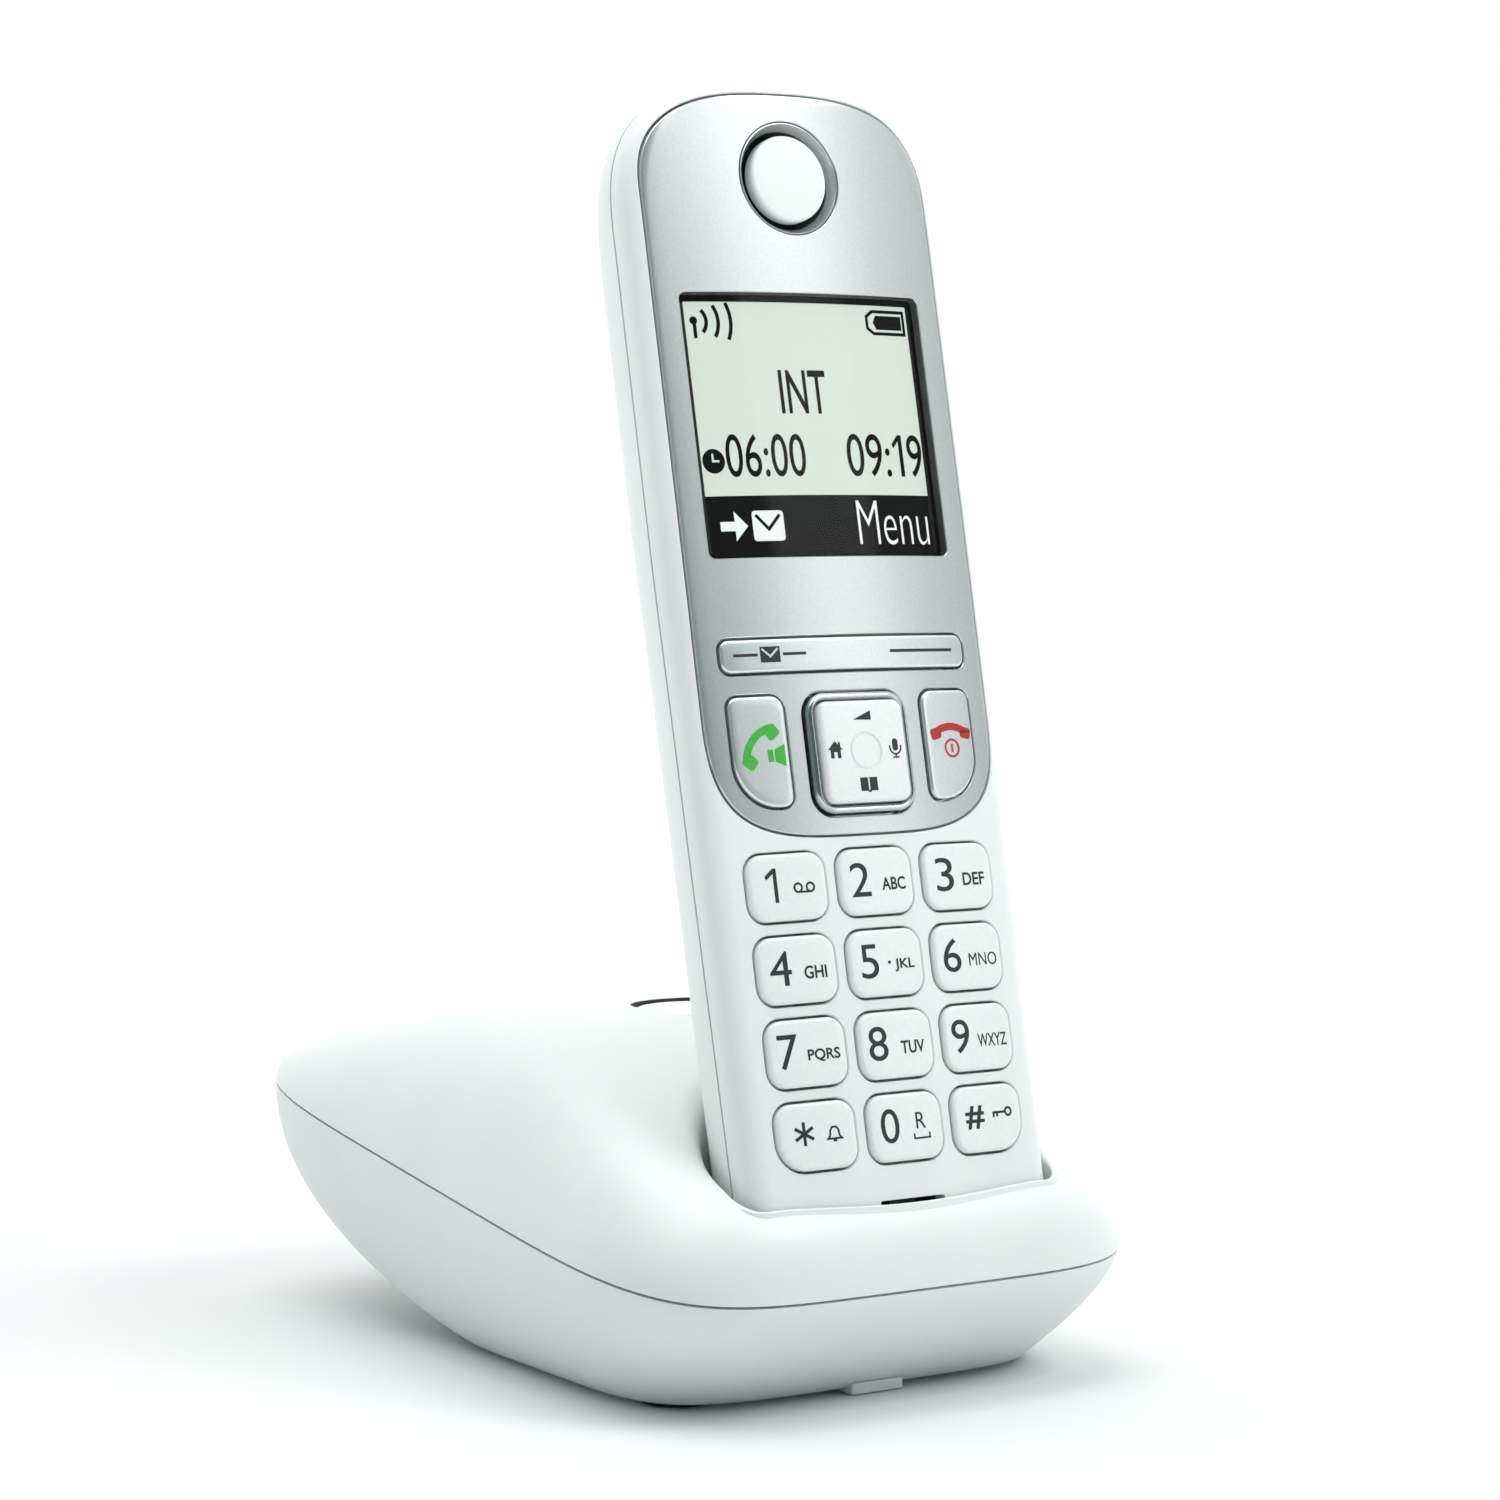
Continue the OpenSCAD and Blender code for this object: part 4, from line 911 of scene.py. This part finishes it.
# %% Lay out the hull and cut it
under_width, under_front, under_back, under_low, under_square = 63.6, -47.1, 14.9, 0.8, 5.0
seam_gap, bottom_wall = 0.36, 2.0
jack_x, bay_roof = 9.3, 26.0
base_feet = [(-24.0, -38.0), (24.0, -38.0), (-20.0, 9.1), (20.0, 9.1)]
base_screw_seats = [(-23.0, -2.0, 11.0), (23.0, -2.0, 11.0), (0.0, -38.5, 6.0)]
foot_seat_r, post_r, head_hole_r, shank_hole_r = 5.1, 4.4, 3.0, 1.35

rim_run = running_length(base_rim(dense_turns))
hull_turns = np.interp(np.linspace(0, rim_run[-1], ring_points, endpoint=False), rim_run, dense_turns)
hull_seam, to_front = seam_level(base_rim(hull_turns)[:, 1]), smooth_step(-np.sin(hull_turns))


def hull_ring(t, inset=0.0, lift=0.0):
    # Full and round towards the back, nearly straight towards the front
    full, straight = max(0.0, 1 - t ** 2.2) ** 0.9, max(0.0, 1 - t ** 1.5)
    g = full + (straight - full) * to_front
    flat = squarish(hull_turns, under_width / 2 + (base_width - under_width) / 2 * g - inset,
                    under_front - (half_depth + under_front) * straight + inset,
                    under_back + (half_depth - under_back) * full - inset,
                    under_square + (base_square - under_square) * g)
    return np.column_stack([flat, hull_seam * (1 - t) + (under_low + inset) * t + lift])


def hull(name, inset=0.0, material=None):
    steps = 1 - (1 - np.linspace(0, 1, 34)) ** 1.25
    return loft(name, [hull_ring(0, inset, 2.0)] + [hull_ring(t, inset) for t in steps], material)


def box_tool(x, y, low, high, w, d):
    return prism(block(x, y, w, d, 0.3), low, high, plain)


def bore(x, y, low, high, r):
    return prism(disc(x, y, r), low, high, plain)


hull_skin = soften(hull("hull_skin"), 60)
bottom = hull("base_bottom_moulding", 0, shell_white)
corners, below = [(-60, -80), (60, -80), (60, 80), (-60, 80)], -5
carve(bottom, loft("above", [[(x, y, seam_level(y) - seam_gap) for x, y in corners],
                             [(x, y, 90) for x, y in corners]]))
hollow = carve(hull("hollow", bottom_wall), box_tool(0, 65, below, bay_roof + 2, 44, 66),
               *[bore(x, y, below, seat + 3, post_r) for x, y, seat in base_screw_seats])
carve(bottom, hollow, box_tool(0, 64, below, bay_roof, 40, 60))
carve(bottom, *[box_tool(x, 33.5, 17.3, 24.9, 10.6, 5.0) for x in (-jack_x, jack_x)],
      *[bore(x, y, below, 1.4, foot_seat_r) for x, y in base_feet])
for x, y, seat in base_screw_seats:
    carve(bottom, bore(x, y, below, seat, head_hole_r), bore(x, y, below, seat + 6, shank_hole_r))
carve(bottom, box_tool(0, -46.7, 0.2, 1.6, 8.0, 4.0), how="UNION")
settle(bottom, "base", "white_shell", "base_bottom", skin=hull_skin, material=shell_white)
bpy.data.objects.remove(hull_skin)

# %% [markdown]
# ## The paging key
# A round key behind the handset makes a mislaid handset ring. It lies just under the dome, in its own
# well, with a rolled edge and a slight dish for a fingertip. A dark ring lines the well: it is painted
# shade, a sheet of black plastic that stands for the shadow on the well's wall.

# %% Paging key
paging_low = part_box("paging_key")[0][2] * 1000
paging_r, paging_top, paging_roll = 8.35, 45.3, 0.6
shade_ring_r, shade_ring_hole_r = 8.79, 8.6
paging_stem = [(2.0, paging_low), (2.0, 41.5), (9.7, 41.5), (9.7, 42.7), (paging_r, 42.7)]
paging_dish = [(6.0, 45.21), (4.0, 45.07), (2.0, 44.99), (0.0, 44.95)]
paging = spin("paging_key_cap", paging_stem + rolled(paging_r, paging_top, paging_roll, 8) + paging_dish,
              0, peak_y, shell_white, place=plain)
settle(paging, "paging", "white_keys", "paging_key", angle=40)
# Painted shade: a thin black ring in the well, standing for the shadow on the well's wall round the key
well_shade_ring = plug("paging_key_seal", lambda g: disc(0, peak_y, shade_ring_r), [(0, 43.2, False), (0, -0.12, True)],
            dome_level, place=plain)
carve(well_shade_ring, bore(0, peak_y, 40, 48, shade_ring_hole_r))
settle(well_shade_ring, "base", "dark_plastic", material=black_abs, angle=30)

# %% [markdown]
# ## Things that repeat
# Screws, feet, the wires in the two sockets and the thumb ribs on the battery cover each come
# in several. One Geometry Nodes tree sets a copy of a small piece at every point it is given, turns
# each by a random angle where that is real, makes the copies real and gives them their finish.

# %% A node tree that sets copies at points
copies_group = bpy.data.node_groups.new("copies_at_points", "GeometryNodeTree")
for label, kind in (("Points", "Geometry"), ("Piece", "Object"), ("Axis", "Vector"),
                    ("Largest Turn", "Float"), ("Seed", "Int"), ("Finish", "Material")):
    copies_group.interface.new_socket(label, in_out="INPUT", socket_type="NodeSocket" + kind)
copies_group.interface.new_socket("Copies", in_out="OUTPUT", socket_type="NodeSocketGeometry")
given = add_node(copies_group, "NodeGroupInput").outputs
pattern = add_node(copies_group, "GeometryNodeObjectInfo", links={"Object": given["Piece"]})
angle = add_node(copies_group, "FunctionNodeRandomValue", data_type="FLOAT", values={2: 0.0},
                 links={3: given["Largest Turn"], 8: given["Seed"]})
rotation = add_node(copies_group, "FunctionNodeAxisAngleToRotation",
                    links={"Axis": given["Axis"], "Angle": angle.outputs[1]})
spread = add_node(copies_group, "GeometryNodeInstanceOnPoints",
                  links={"Points": given["Points"], "Instance": pattern.outputs["Geometry"],
                         "Rotation": rotation.outputs[0]})
real = add_node(copies_group, "GeometryNodeRealizeInstances", links={0: spread.outputs[0]})
dressed = add_node(copies_group, "GeometryNodeSetMaterial",
                   links={"Geometry": real.outputs[0], "Material": given["Finish"]})
add_node(copies_group, "NodeGroupOutput", links={0: dressed.outputs[0]})
copies_sockets = {item.name: item.identifier for item in copies_group.interface.items_tree
                  if item.in_out == "INPUT"}


def copies(name, piece, places_mm, body, slot_name, material, *nodes, axis=(0, 0, 1), turn=0.0, seed=3):
    made = make_object(name, places_mm, [])
    modifier = made.modifiers.new("copies", "NODES")
    modifier.node_group = copies_group
    for label, value in (("Piece", piece), ("Axis", axis), ("Largest Turn", turn), ("Seed", seed),
                         ("Finish", material)):
        modifier[copies_sockets[label]] = value
    bake(made)
    bpy.data.objects.remove(piece)
    settle(made, body, slot_name, *nodes, material=material)


print("Inputs of the tree:", sorted(copies_sockets))

# %% Screws, feet, wires and ribs
def lean(points):
    return stand(points) - foot


def screw(head_r, head_h, shank_r, length, place):
    # Its seat is at 0; the head is on the outer side of that and the shank on the inner side
    made = spin("screw", [(0, -head_h), (head_r - 0.4, -head_h), (head_r - 0.1, -head_h + 0.15),
                          (head_r, -head_h + 0.5), (head_r, 0), (shank_r, 0), (shank_r, length - 1),
                          (0.3, length)], 0, 0, None, 40, place=place)
    return carve(made, *[prism(block(0, 0, w, d, 0.2), -9, 0.9 - head_h, place)
                         for w, d in ((0.6, 1.3 * head_r), (1.3 * head_r, 0.6))])


turn_once = 2 * math.pi
base_head_and_shank = 2.7, 1.6, 1.25
copies("base_rear_screws", screw(*base_head_and_shank, 12.0, plain), base_screw_seats[:2], "base", "steel",
       nickel_steel, "base_screws", turn=turn_once)
copies("base_front_screw", screw(*base_head_and_shank, 7.0, plain), base_screw_seats[2:], "base", "steel",
       nickel_steel, turn=turn_once, seed=5)
copies("handset_cross_screws", screw(1.7, 1.6, 1.0, 7.0, lean),
       stand([(x, hs_screw_h, -10) for x in (-hs_screw_x, hs_screw_x)]),
       "handset", "steel", nickel_steel, "handset_screws", axis=tuple(inward), turn=turn_once, seed=8)

pad = spin("foot_pad", [(0, 0.25), (3.0, 0.25), (3.3, 0.0), (4.5, 0.0), (4.85, 0.12), (5.0, 0.45),
                        (5.0, 1.38), (0, 1.38)], 0, 0, None, 64, place=plain)
copies("rubber_foot_pads", pad, [(x, y, 0) for x, y in base_feet], "base", "rubber_dark", foot_rubber,
       "rubber_feet")

wire_pitch, wire_half = 1.02, 0.2
wire_path = [(31.4, 24.3), (30.6, 24.2), (29.6, 23.8), (22.4, 20.4), (21.6, 20.2)]
wire_corners = [(-1, -1), (1, -1), (1, 1), (-1, 1)]
wire = loft("wire", [[(u * wire_half, y, z + v * wire_half) for u, v in wire_corners] for y, z in wire_path])
wire_places = [(-jack_x + wire_pitch * k, 0, 0) for k in (-1.5, -0.5, 0.5, 1.5)] \
    + [(jack_x + wire_pitch * k, 0, 0) for k in (-1, 1)]
copies("socket_wires", wire, wire_places, "base", "steel", contact_gold)

rib_half, rib_radius, rib_width, rib_low, rib_pitch = 6.0, 0.35, half_width(84), 79, 1.9
rib_sections = []
for x in np.linspace(-rib_half, rib_half, 25):
    back = -hs_seam - (hs_depth - hs_seam) * math.sqrt(1 - (x / rib_width) ** 2)
    radius = rib_radius * math.sqrt(max(0.02, 1 - (x / rib_half) ** 8))
    rib_sections.append(lean(np.column_stack([np.full(14, x), disc(0, back + 0.12, radius, 14)])))
rib_places = stand([(0, rib_low + rib_pitch * k, 0) for k in range(5)])
copies("battery_cover_thumb_ribs", loft("rib", rib_sections), rib_places, "battery_door", "white_shell",
       shell_white)

# %% [markdown]
# ## Legends
# The keys carry printed digits, letters and small pictograms. Each is drawn flat as outlines in
# millimetres, filled and given a paper-thin thickness. Then it is sliced finely and laid on the
# crowned key top, so it follows the curve exactly. Nothing printed here is a name or a mark.

# %% Drawing and printing
def mesh_of(curve):
    # The filled mesh of a curve or text, from 1 to -1 thick in z
    curve.extrude = 1.0
    made = bpy.data.objects.new("drawing", curve)
    scene.collection.objects.link(made)
    mesh = baked_mesh(made)
    bpy.data.objects.remove(made)
    return mesh


def figure(*loops, x=0.0, h=0.0, turn=0.0):
    # Closed loops of points; a loop inside another is a hole
    curve = bpy.data.curves.new("figure", "CURVE")
    curve.dimensions, curve.fill_mode = "2D", "BOTH"
    c, s = math.cos(math.radians(turn)), math.sin(math.radians(turn))
    for loop in loops:
        line = curve.splines.new("POLY")
        line.points.add(len(loop) - 1)
        for point, (u, v) in zip(line.points, loop):
            point.co = (x + c * u - s * v, h + s * u + c * v, 0, 1)
        line.use_cyclic_u = True
    return mesh_of(curve)


def drawn_at(x, h, *shapes):
    # Each shape is a list of loops
    return [figure(*loops, x=x, h=h) for loops in shapes]


def words(text, x, h, wide, tall, weight=0.0):
    # Text scaled to a given width and height about its middle
    curve = bpy.data.curves.new("words", "FONT")
    curve.body, curve.size, curve.offset, curve.resolution_u = text, 1.0, weight, 5
    mesh = mesh_of(curve)
    points = np.array([v.co for v in mesh.vertices])
    low, high = points[:, :2].min(axis=0), points[:, :2].max(axis=0)
    points[:, :2] = (points[:, :2] - (low + high) / 2) * (wide, tall) / (high - low) + (x, h)
    mesh.vertices.foreach_set("co", points.ravel())
    return mesh


def stroke(points, width, closed=False):
    # The outline of a line of even width; a closed line has two loops
    p = np.asarray(points, float)
    ahead, back = np.roll(p, -1, axis=0) - p, p - np.roll(p, 1, axis=0)
    if not closed:
        ahead[-1], back[0] = back[-1], ahead[0]
    n1, n2 = [np.column_stack([-v[:, 1], v[:, 0]]) / np.linalg.norm(v, axis=1)[:, None]
              for v in (back, ahead)]
    middle = (n1 + n2) / np.linalg.norm(n1 + n2, axis=1)[:, None]
    shift = middle * (width / 2 / np.maximum(0.35, (middle * n2).sum(axis=1)))[:, None]
    return [p + shift, (p - shift)[::-1]] if closed else [np.vstack([p + shift, (p - shift)[::-1]])]


def arc(x, h, r, start, end, steps=28):
    a = np.radians(np.linspace(start, end, steps))
    return np.column_stack([x + r * np.cos(a), h + r * np.sin(a)])


def rectangle(x, h, w, t):
    return [(x - w / 2, h - t / 2), (x + w / 2, h - t / 2), (x + w / 2, h + t / 2), (x - w / 2, h + t / 2)]


def numeral_one(x, h, wide, tall, line):
    right, top = wide / 2, tall / 2
    return figure([(right, -top), (right, top), (right - line, top), (-right, top - 0.22 * tall),
                   (-right + 0.3 * line, top - 0.22 * tall - line), (right - line, top - 1.3 * line),
                   (right - line, -top)], x=x, h=h)


def printed(name, drawings, body, slot_name, ink, lift, half_thick=0.02, crowned=True):
    slice_width = 1.3
    work = bmesh.new()
    for mesh in drawings:
        work.from_mesh(mesh)
        bpy.data.meshes.remove(mesh)
    xs = [v.co.x for v in work.verts]
    for x in np.arange(min(xs) + slice_width, max(xs), slice_width):
        bmesh.ops.bisect_plane(work, geom=work.verts[:] + work.edges[:] + work.faces[:], plane_co=(x, 0, 0),
                               plane_no=(1, 0, 0))
    for v in work.verts:
        x, h, side = v.co
        w = (crown_level(x) if crowned else 0) + lift + (half_thick if side > 0 else -half_thick)
        v.co = Vector(stand([(x, h, w)])[0] * 0.001)
    mesh = bpy.data.meshes.new(name)
    work.to_mesh(mesh)
    work.free()
    made = bpy.data.objects.new(name, mesh)
    scene.collection.objects.link(made)
    settle(made, body, slot_name, material=ink, angle=30)


print("A test word has", len(words("8", 0, 0, 3, 4.4).polygons), "faces")

# %% Legends of the number keys
digit_tall, letter_tall, sign_tall, ring_letter_tall = 4.4, 1.68, 3.0, 2.1
print_lift = 0.006
tape = drawn_at(-11.1, 47.9, *[stroke(arc(u, 0, 0.55, 0, 342), 0.28, True) for u in (-0.9, 0.9)],
                [rectangle(0, -0.56, 1.9, 0.26)])
bell = drawn_at(-10.95, 16.45, stroke([(-1.0, -0.6), (-0.7, -0.25), (-0.6, 0.45), (-0.3, 0.85), (0.3, 0.85),
                                       (0.6, 0.45), (0.7, -0.25), (1.0, -0.6)], 0.26, True),
                [rectangle(0, -0.85, 0.55, 0.3)])
space_bar = drawn_at(2.2, 15.05, stroke([(-1.2, 0.35), (-1.2, -0.3), (1.2, -0.3), (1.2, 0.35)], 0.24))
padlock_key = drawn_at(15.6, 17.0, stroke(arc(1.05, 0, 0.5, 180, 522), 0.3, True),
                       [rectangle(-0.55, 0.0, 2.1, 0.3)], [rectangle(-1.45, -0.34, 0.3, 0.6)],
                       [rectangle(-0.85, -0.3, 0.3, 0.5)])
middle_dot = [figure(disc(0, 0, 0.22, 16), x=0.35, h=37.5)]
# For each key: sign, offset and width of the sign, letters, offset and width of the letters
key_legends = [
    ("1", -2.5, 1.7, "", 0, 0), ("2", -2.6, 3.0, "ABC", 2.5, 3.7), ("3", -2.4, 2.9, "DEF", 2.4, 3.7),
    ("4", -2.6, 3.1, "GHI", 2.4, 3.3), ("5", -2.7, 2.7, "JKL", 2.7, 3.1), ("6", -2.8, 2.9, "MNO", 2.3, 4.7),
    ("7", -2.9, 2.9, "PQRS", 2.2, 4.7), ("8", -2.9, 2.9, "TUV", 2.4, 3.7),
    ("9", -3.0, 2.9, "WXYZ", 2.2, 4.9), ("*", -2.0, 2.8, "", 0, 0), ("0", -2.6, 2.8, "R", 2.2, 1.5),
    ("#", -2.3, 3.1, "", 0, 0)]
letter_weight, usual_weight, digit_rise, star_rise = {"0": 0.0, "6": 0.0, "9": 0.008}, 0.02, 0.25, 0.4
extra_signs = {0: tape, 4: middle_dot, 9: bell, 10: space_bar, 11: padlock_key}
for index, (sign, sign_x, sign_w, letters, letters_x, letters_w) in enumerate(key_legends):
    row, column = index // 3, index % 3 - 1
    x, h = column * key_pitch_x, key_top - row * key_pitch_h
    tall = sign_tall if sign in "*#" else digit_tall
    if sign == "1":
        drawings = [numeral_one(x + sign_x, h + digit_rise, sign_w, tall, 0.52)]
    elif sign == "*":
        drawings = [figure(rectangle(0, 0, 0.42, tall), x=x + sign_x, h=h + star_rise, turn=turn)
                    for turn in (0, 60, 120)]
    else:
        weight = usual_weight if sign == "#" else 0.0
        drawings = [words(sign, x + sign_x, h + digit_rise, sign_w, tall, weight)]
    if letters:
        letters_h, tall = (h + 0.65, ring_letter_tall) if sign == "0" else (h - 0.45, letter_tall)
        drawings.append(words(letters, x + letters_x, letters_h, letters_w, tall,
                              letter_weight.get(sign, usual_weight)))
    printed(key_names[index] + "_legend", drawings + extra_signs.get(index, []), key_names[index] + "_body",
            "dark_plastic", legend_ink, key_proud + print_lift)

# %% Legends of the silver keys and the navigation key
talk_drawings = [figure(*stroke(arc(-12.4, 63.9, 4.75, 170, 99), 1.05)),
                 figure(block(0, 0, 2.0, 1.75, 0.45), x=-16.6, h=64.35, turn=-38),
                 figure(block(0, 0, 1.75, 1.9, 0.45), x=-13.05, h=68.05, turn=-52),
                 figure(rectangle(-13.55, 65.0, 0.8, 1.6)),
                 figure([(-12.95, 64.2), (-11.4, 63.55), (-11.4, 66.45), (-12.95, 65.8)])]
printed("talk_key_legend", talk_drawings, "talk", "dark_plastic", talk_ink, side_proud + print_lift)
end_drawings = [figure(*stroke(arc(15, 63.25, 4.6, 131, 49), 1.0)),
                figure(block(0, 0, 1.7, 1.5, 0.4), x=12.5, h=66.95, turn=14),
                figure(block(0, 0, 1.7, 1.5, 0.4), x=17.5, h=66.95, turn=-14),
                figure(*stroke(arc(15, 65.0, 1.12, 0, 350), 0.3, True)),
                figure(rectangle(15, 65.0, 0.3, 1.15))]
printed("end_key_legend", end_drawings, "end", "dark_plastic", hang_up_ink, side_proud + print_lift)
soft_h = 78.1
soft_drawings = [figure(rectangle(x, soft_h, w, t))
                 for x, w, t in ((-15.45, 3.5, 0.38), (-8.25, 3.45, 0.38), (11.8, 10.3, 0.4))]
soft_drawings += drawn_at(-11.85, soft_h, [rectangle(0, 0, 2.9, 2.05),
                                           stroke([(-1.2, 0.78), (0, -0.25), (1.2, 0.78)], 0.3)[0]])
printed("soft_key_legend", soft_drawings, "soft_keys", "dark_plastic", legend_ink, soft_proud + print_lift)

house = [(-1.15, -0.05), (0, 1.1), (0.5, 0.6), (0.5, 0.95), (0.8, 0.95), (0.8, 0.3), (1.15, -0.05),
         (0.78, -0.05), (0.78, -1.15), (0.26, -1.15), (0.26, -0.35), (-0.26, -0.35), (-0.26, -1.15),
         (-0.78, -1.15), (-0.78, -0.05)]
microphone_yoke = np.vstack([[(-0.85, 0.35)], arc(0, 0.05, 0.85, 180, 360, 14), [(0.85, 0.35)]])
nav_drawings = drawn_at(-0.1, 69.5, [[(-1.4, -0.5), (1.4, -0.6), (1.4, 0.62)]]) \
    + drawn_at(-4.75, 65.2, [house]) \
    + drawn_at(4.6, 65.1, [block(0, 0.42, 0.85, 1.6, 0.4)], stroke(microphone_yoke, 0.22),
               [rectangle(0, -1.0, 0.22, 0.3)], [rectangle(0, -1.22, 1.0, 0.2)]) \
    + drawn_at(-0.15, 60.5, [rectangle(-0.72, 0.05, 1.2, 1.75)], [rectangle(0.72, 0.05, 1.2, 1.75)],
               [rectangle(0, -0.85, 0.5, 0.3)])
printed("nav_key_legend", nav_drawings, "nav_center", "dark_plastic", legend_ink, plate_proud + print_lift,
        crowned=False)

# %% [markdown]
# ## The display's picture
# A standby screen: signal, battery, an internal-line notice, an alarm time and the time of day. The
# dark strip under it names what the two soft keys do.

# %% Symbols on the display
symbol_lift, symbol_thick = -1.345, 0.01
time_h, time_x, time_weight, strip_h = 104.55, 11.05, 0.002, 95.2
signal = [figure(disc(0, 0, 0.55, 24), x=-16.25, h=122.4), figure(rectangle(-16.15, 121.1, 0.5, 2.1))]
signal += [figure(*stroke(arc(-16.4, 122.3, r, -half, half), 0.52))
           for r, half in ((2.0, 47), (3.75, 34), (5.6, 26))]
battery_case = [(10.7, 121.8), (11.7, 121.1), (16.9, 121.1), (16.9, 124.1), (11.7, 124.1), (10.7, 123.4)]
battery_fill = [(12.2, 121.65), (16.5, 121.65), (16.5, 123.55), (12.2, 123.55), (11.7, 122.6)]
battery = [figure(*stroke(battery_case, 0.44, True)), figure(battery_fill)]
clock_hands = stroke([(-0.1, 1.0), (-0.1, 0.0), (0.85, 0.0)], 0.3)[0]
clock_face = drawn_at(-15.7, 103.8, [disc(0, 0, 1.62, 48), clock_hands])
readings = [words("INT", -1.0, 112.95, 7.3, 5.8, 0.009),
            words("06:00", -7.85, 104.5, 12.0, 5.7, time_weight),
            words("09:", time_x - 2.75, time_h, 7.1, 5.75, time_weight),
            numeral_one(time_x + 2.15, time_h, 1.7, 5.6, 0.62),
            words("9", time_x + 5.0, time_h, 2.5, 5.75, time_weight)]
printed("display_symbols", signal + battery + clock_face + readings, "handset", "dark_plastic", window_ink,
        symbol_lift, symbol_thick)
arrow = [(-2.0, -0.62), (0.1, -0.62), (0.1, -1.95), (2.0, 0.0), (0.1, 1.95), (0.1, 0.62), (-2.0, 0.62)]
envelope = [block(0, 0, 4.7, 4.0, 0.5), stroke([(-1.8, 1.45), (0, -0.45), (1.8, 1.45)], 0.46)[0]]
strip_drawings = drawn_at(-13.8, strip_h, [arrow]) + drawn_at(-8.75, strip_h, envelope)
printed("display_strip_symbols", strip_drawings + [words("Menu", 11.05, strip_h + 0.3, 11.7, 5.9, -0.014)],
        "handset", "display", display_white, symbol_lift, symbol_thick)

# %% [markdown]
# ## Finishes of the remaining parts
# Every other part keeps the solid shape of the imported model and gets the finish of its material.

# %% Give the remaining parts their finish
remaining_finish = (
    (black_abs, "power_jack line_jack contact_block paging_switch"),
    (black_abs, "display_gasket receiver_speaker microphone ringer_speaker"),
    (nickel_steel, "charge_contact_left charge_contact_right charge_pads battery_contacts"),
    (nickel_steel, "base_radio_shield handset_radio_shield"),
    (board_lacquer, "base_circuit_board handset_circuit_board"), (mat_silicone, "keypad_mat"),
    (display_pale, "lcd_module"), (speaker_cloth, "earpiece_cloth"),
    (cell_sleeve, "battery_left battery_right"))
for material, node_names in remaining_finish:
    for node_name in node_names.split():
        for one in frame["nodes"][node_name].material_slots:
            one.material = material
    print(material.name, "is on", node_names)

# %% [markdown]
# ## The studio
# A plain pale table that glows softly towards its edges, and a surround that is white behind the phone
# and to its right and grey at the left. A large soft light hangs high above. A smaller one stands at
# the front right, and a tall narrow one beside it draws the bright band down the silver panel.

# %% Floor, surround and lights
world = bpy.data.worlds.new("studio")
scene.world = world
world.use_nodes = True
sky = world.node_tree
around = add_node(sky, "ShaderNodeTexCoord")
facing = add_node(sky, "ShaderNodeVectorMath", {1: (0.45, 0.77, 0.45)}, {0: around.outputs["Generated"]},
                  operation="DOT_PRODUCT")
level = add_node(sky, "ShaderNodeMapRange", {"From Min": -0.35, "From Max": 0.65},
                 {"Value": facing.outputs["Value"]})
fade = add_node(sky, "ShaderNodeValToRGB", links={"Fac": level.outputs[0]})
fade.color_ramp.elements[0].color = (0.11, 0.17, 0.165, 1)
fade.color_ramp.elements[1].color = (1, 1, 1, 1)
sky.nodes["Background"].inputs[1].default_value = 1.0
sky.links.new(fade.outputs[0], sky.nodes["Background"].inputs[0])

far = 3000
floor = make_object("studio_floor", [(-far, -far, 0), (far, -far, 0), (far, far, 0), (-far, far, 0)],
                    [(0, 1, 2, 3)])
floor_paint, tree, surface = finish_material("studio_paint", **{
    "Base Color": colour("#E0E2E2"), "Roughness": 0.8, "Emission Color": colour("#FFFFFF")})
table_place = add_node(tree, "ShaderNodeTexCoord")
table_far = add_node(tree, "ShaderNodeVectorMath", links={0: table_place.outputs["Object"]},
                     operation="LENGTH")
table_glow = add_node(tree, "ShaderNodeMapRange", {"From Min": 0.16, "From Max": 0.6, "To Max": 0.7},
                      {"Value": table_far.outputs["Value"]}, interpolation_type="SMOOTHSTEP")
tree.links.new(table_glow.outputs[0], surface.inputs["Emission Strength"])
floor.data.materials.append(floor_paint)


def soft_light(name, place, aim, wide, tall, power):
    light = bpy.data.lights.new(name, "AREA")
    light.shape, light.size, light.size_y, light.energy = "RECTANGLE", wide, tall, power
    lamp = bpy.data.objects.new(name, light)
    lamp.location = place
    lamp.rotation_euler = (Vector(aim) - Vector(place)).to_track_quat("-Z", "Y").to_euler()
    scene.collection.objects.link(lamp)


soft_light("top_light", (-0.2, 0.15, 1.1), (0, 0, 0.07), 0.9, 0.9, 7.0)
soft_light("front_light", (0.42, -0.62, 0.95), (0, 0, 0.1), 0.5, 0.5, 5.0)
soft_light("strip_light", (0.49, -0.72, 0.44), (0, -0.03, 0.13), 0.2, 0.8, 0.85)
scene.view_settings.view_transform = "Standard"
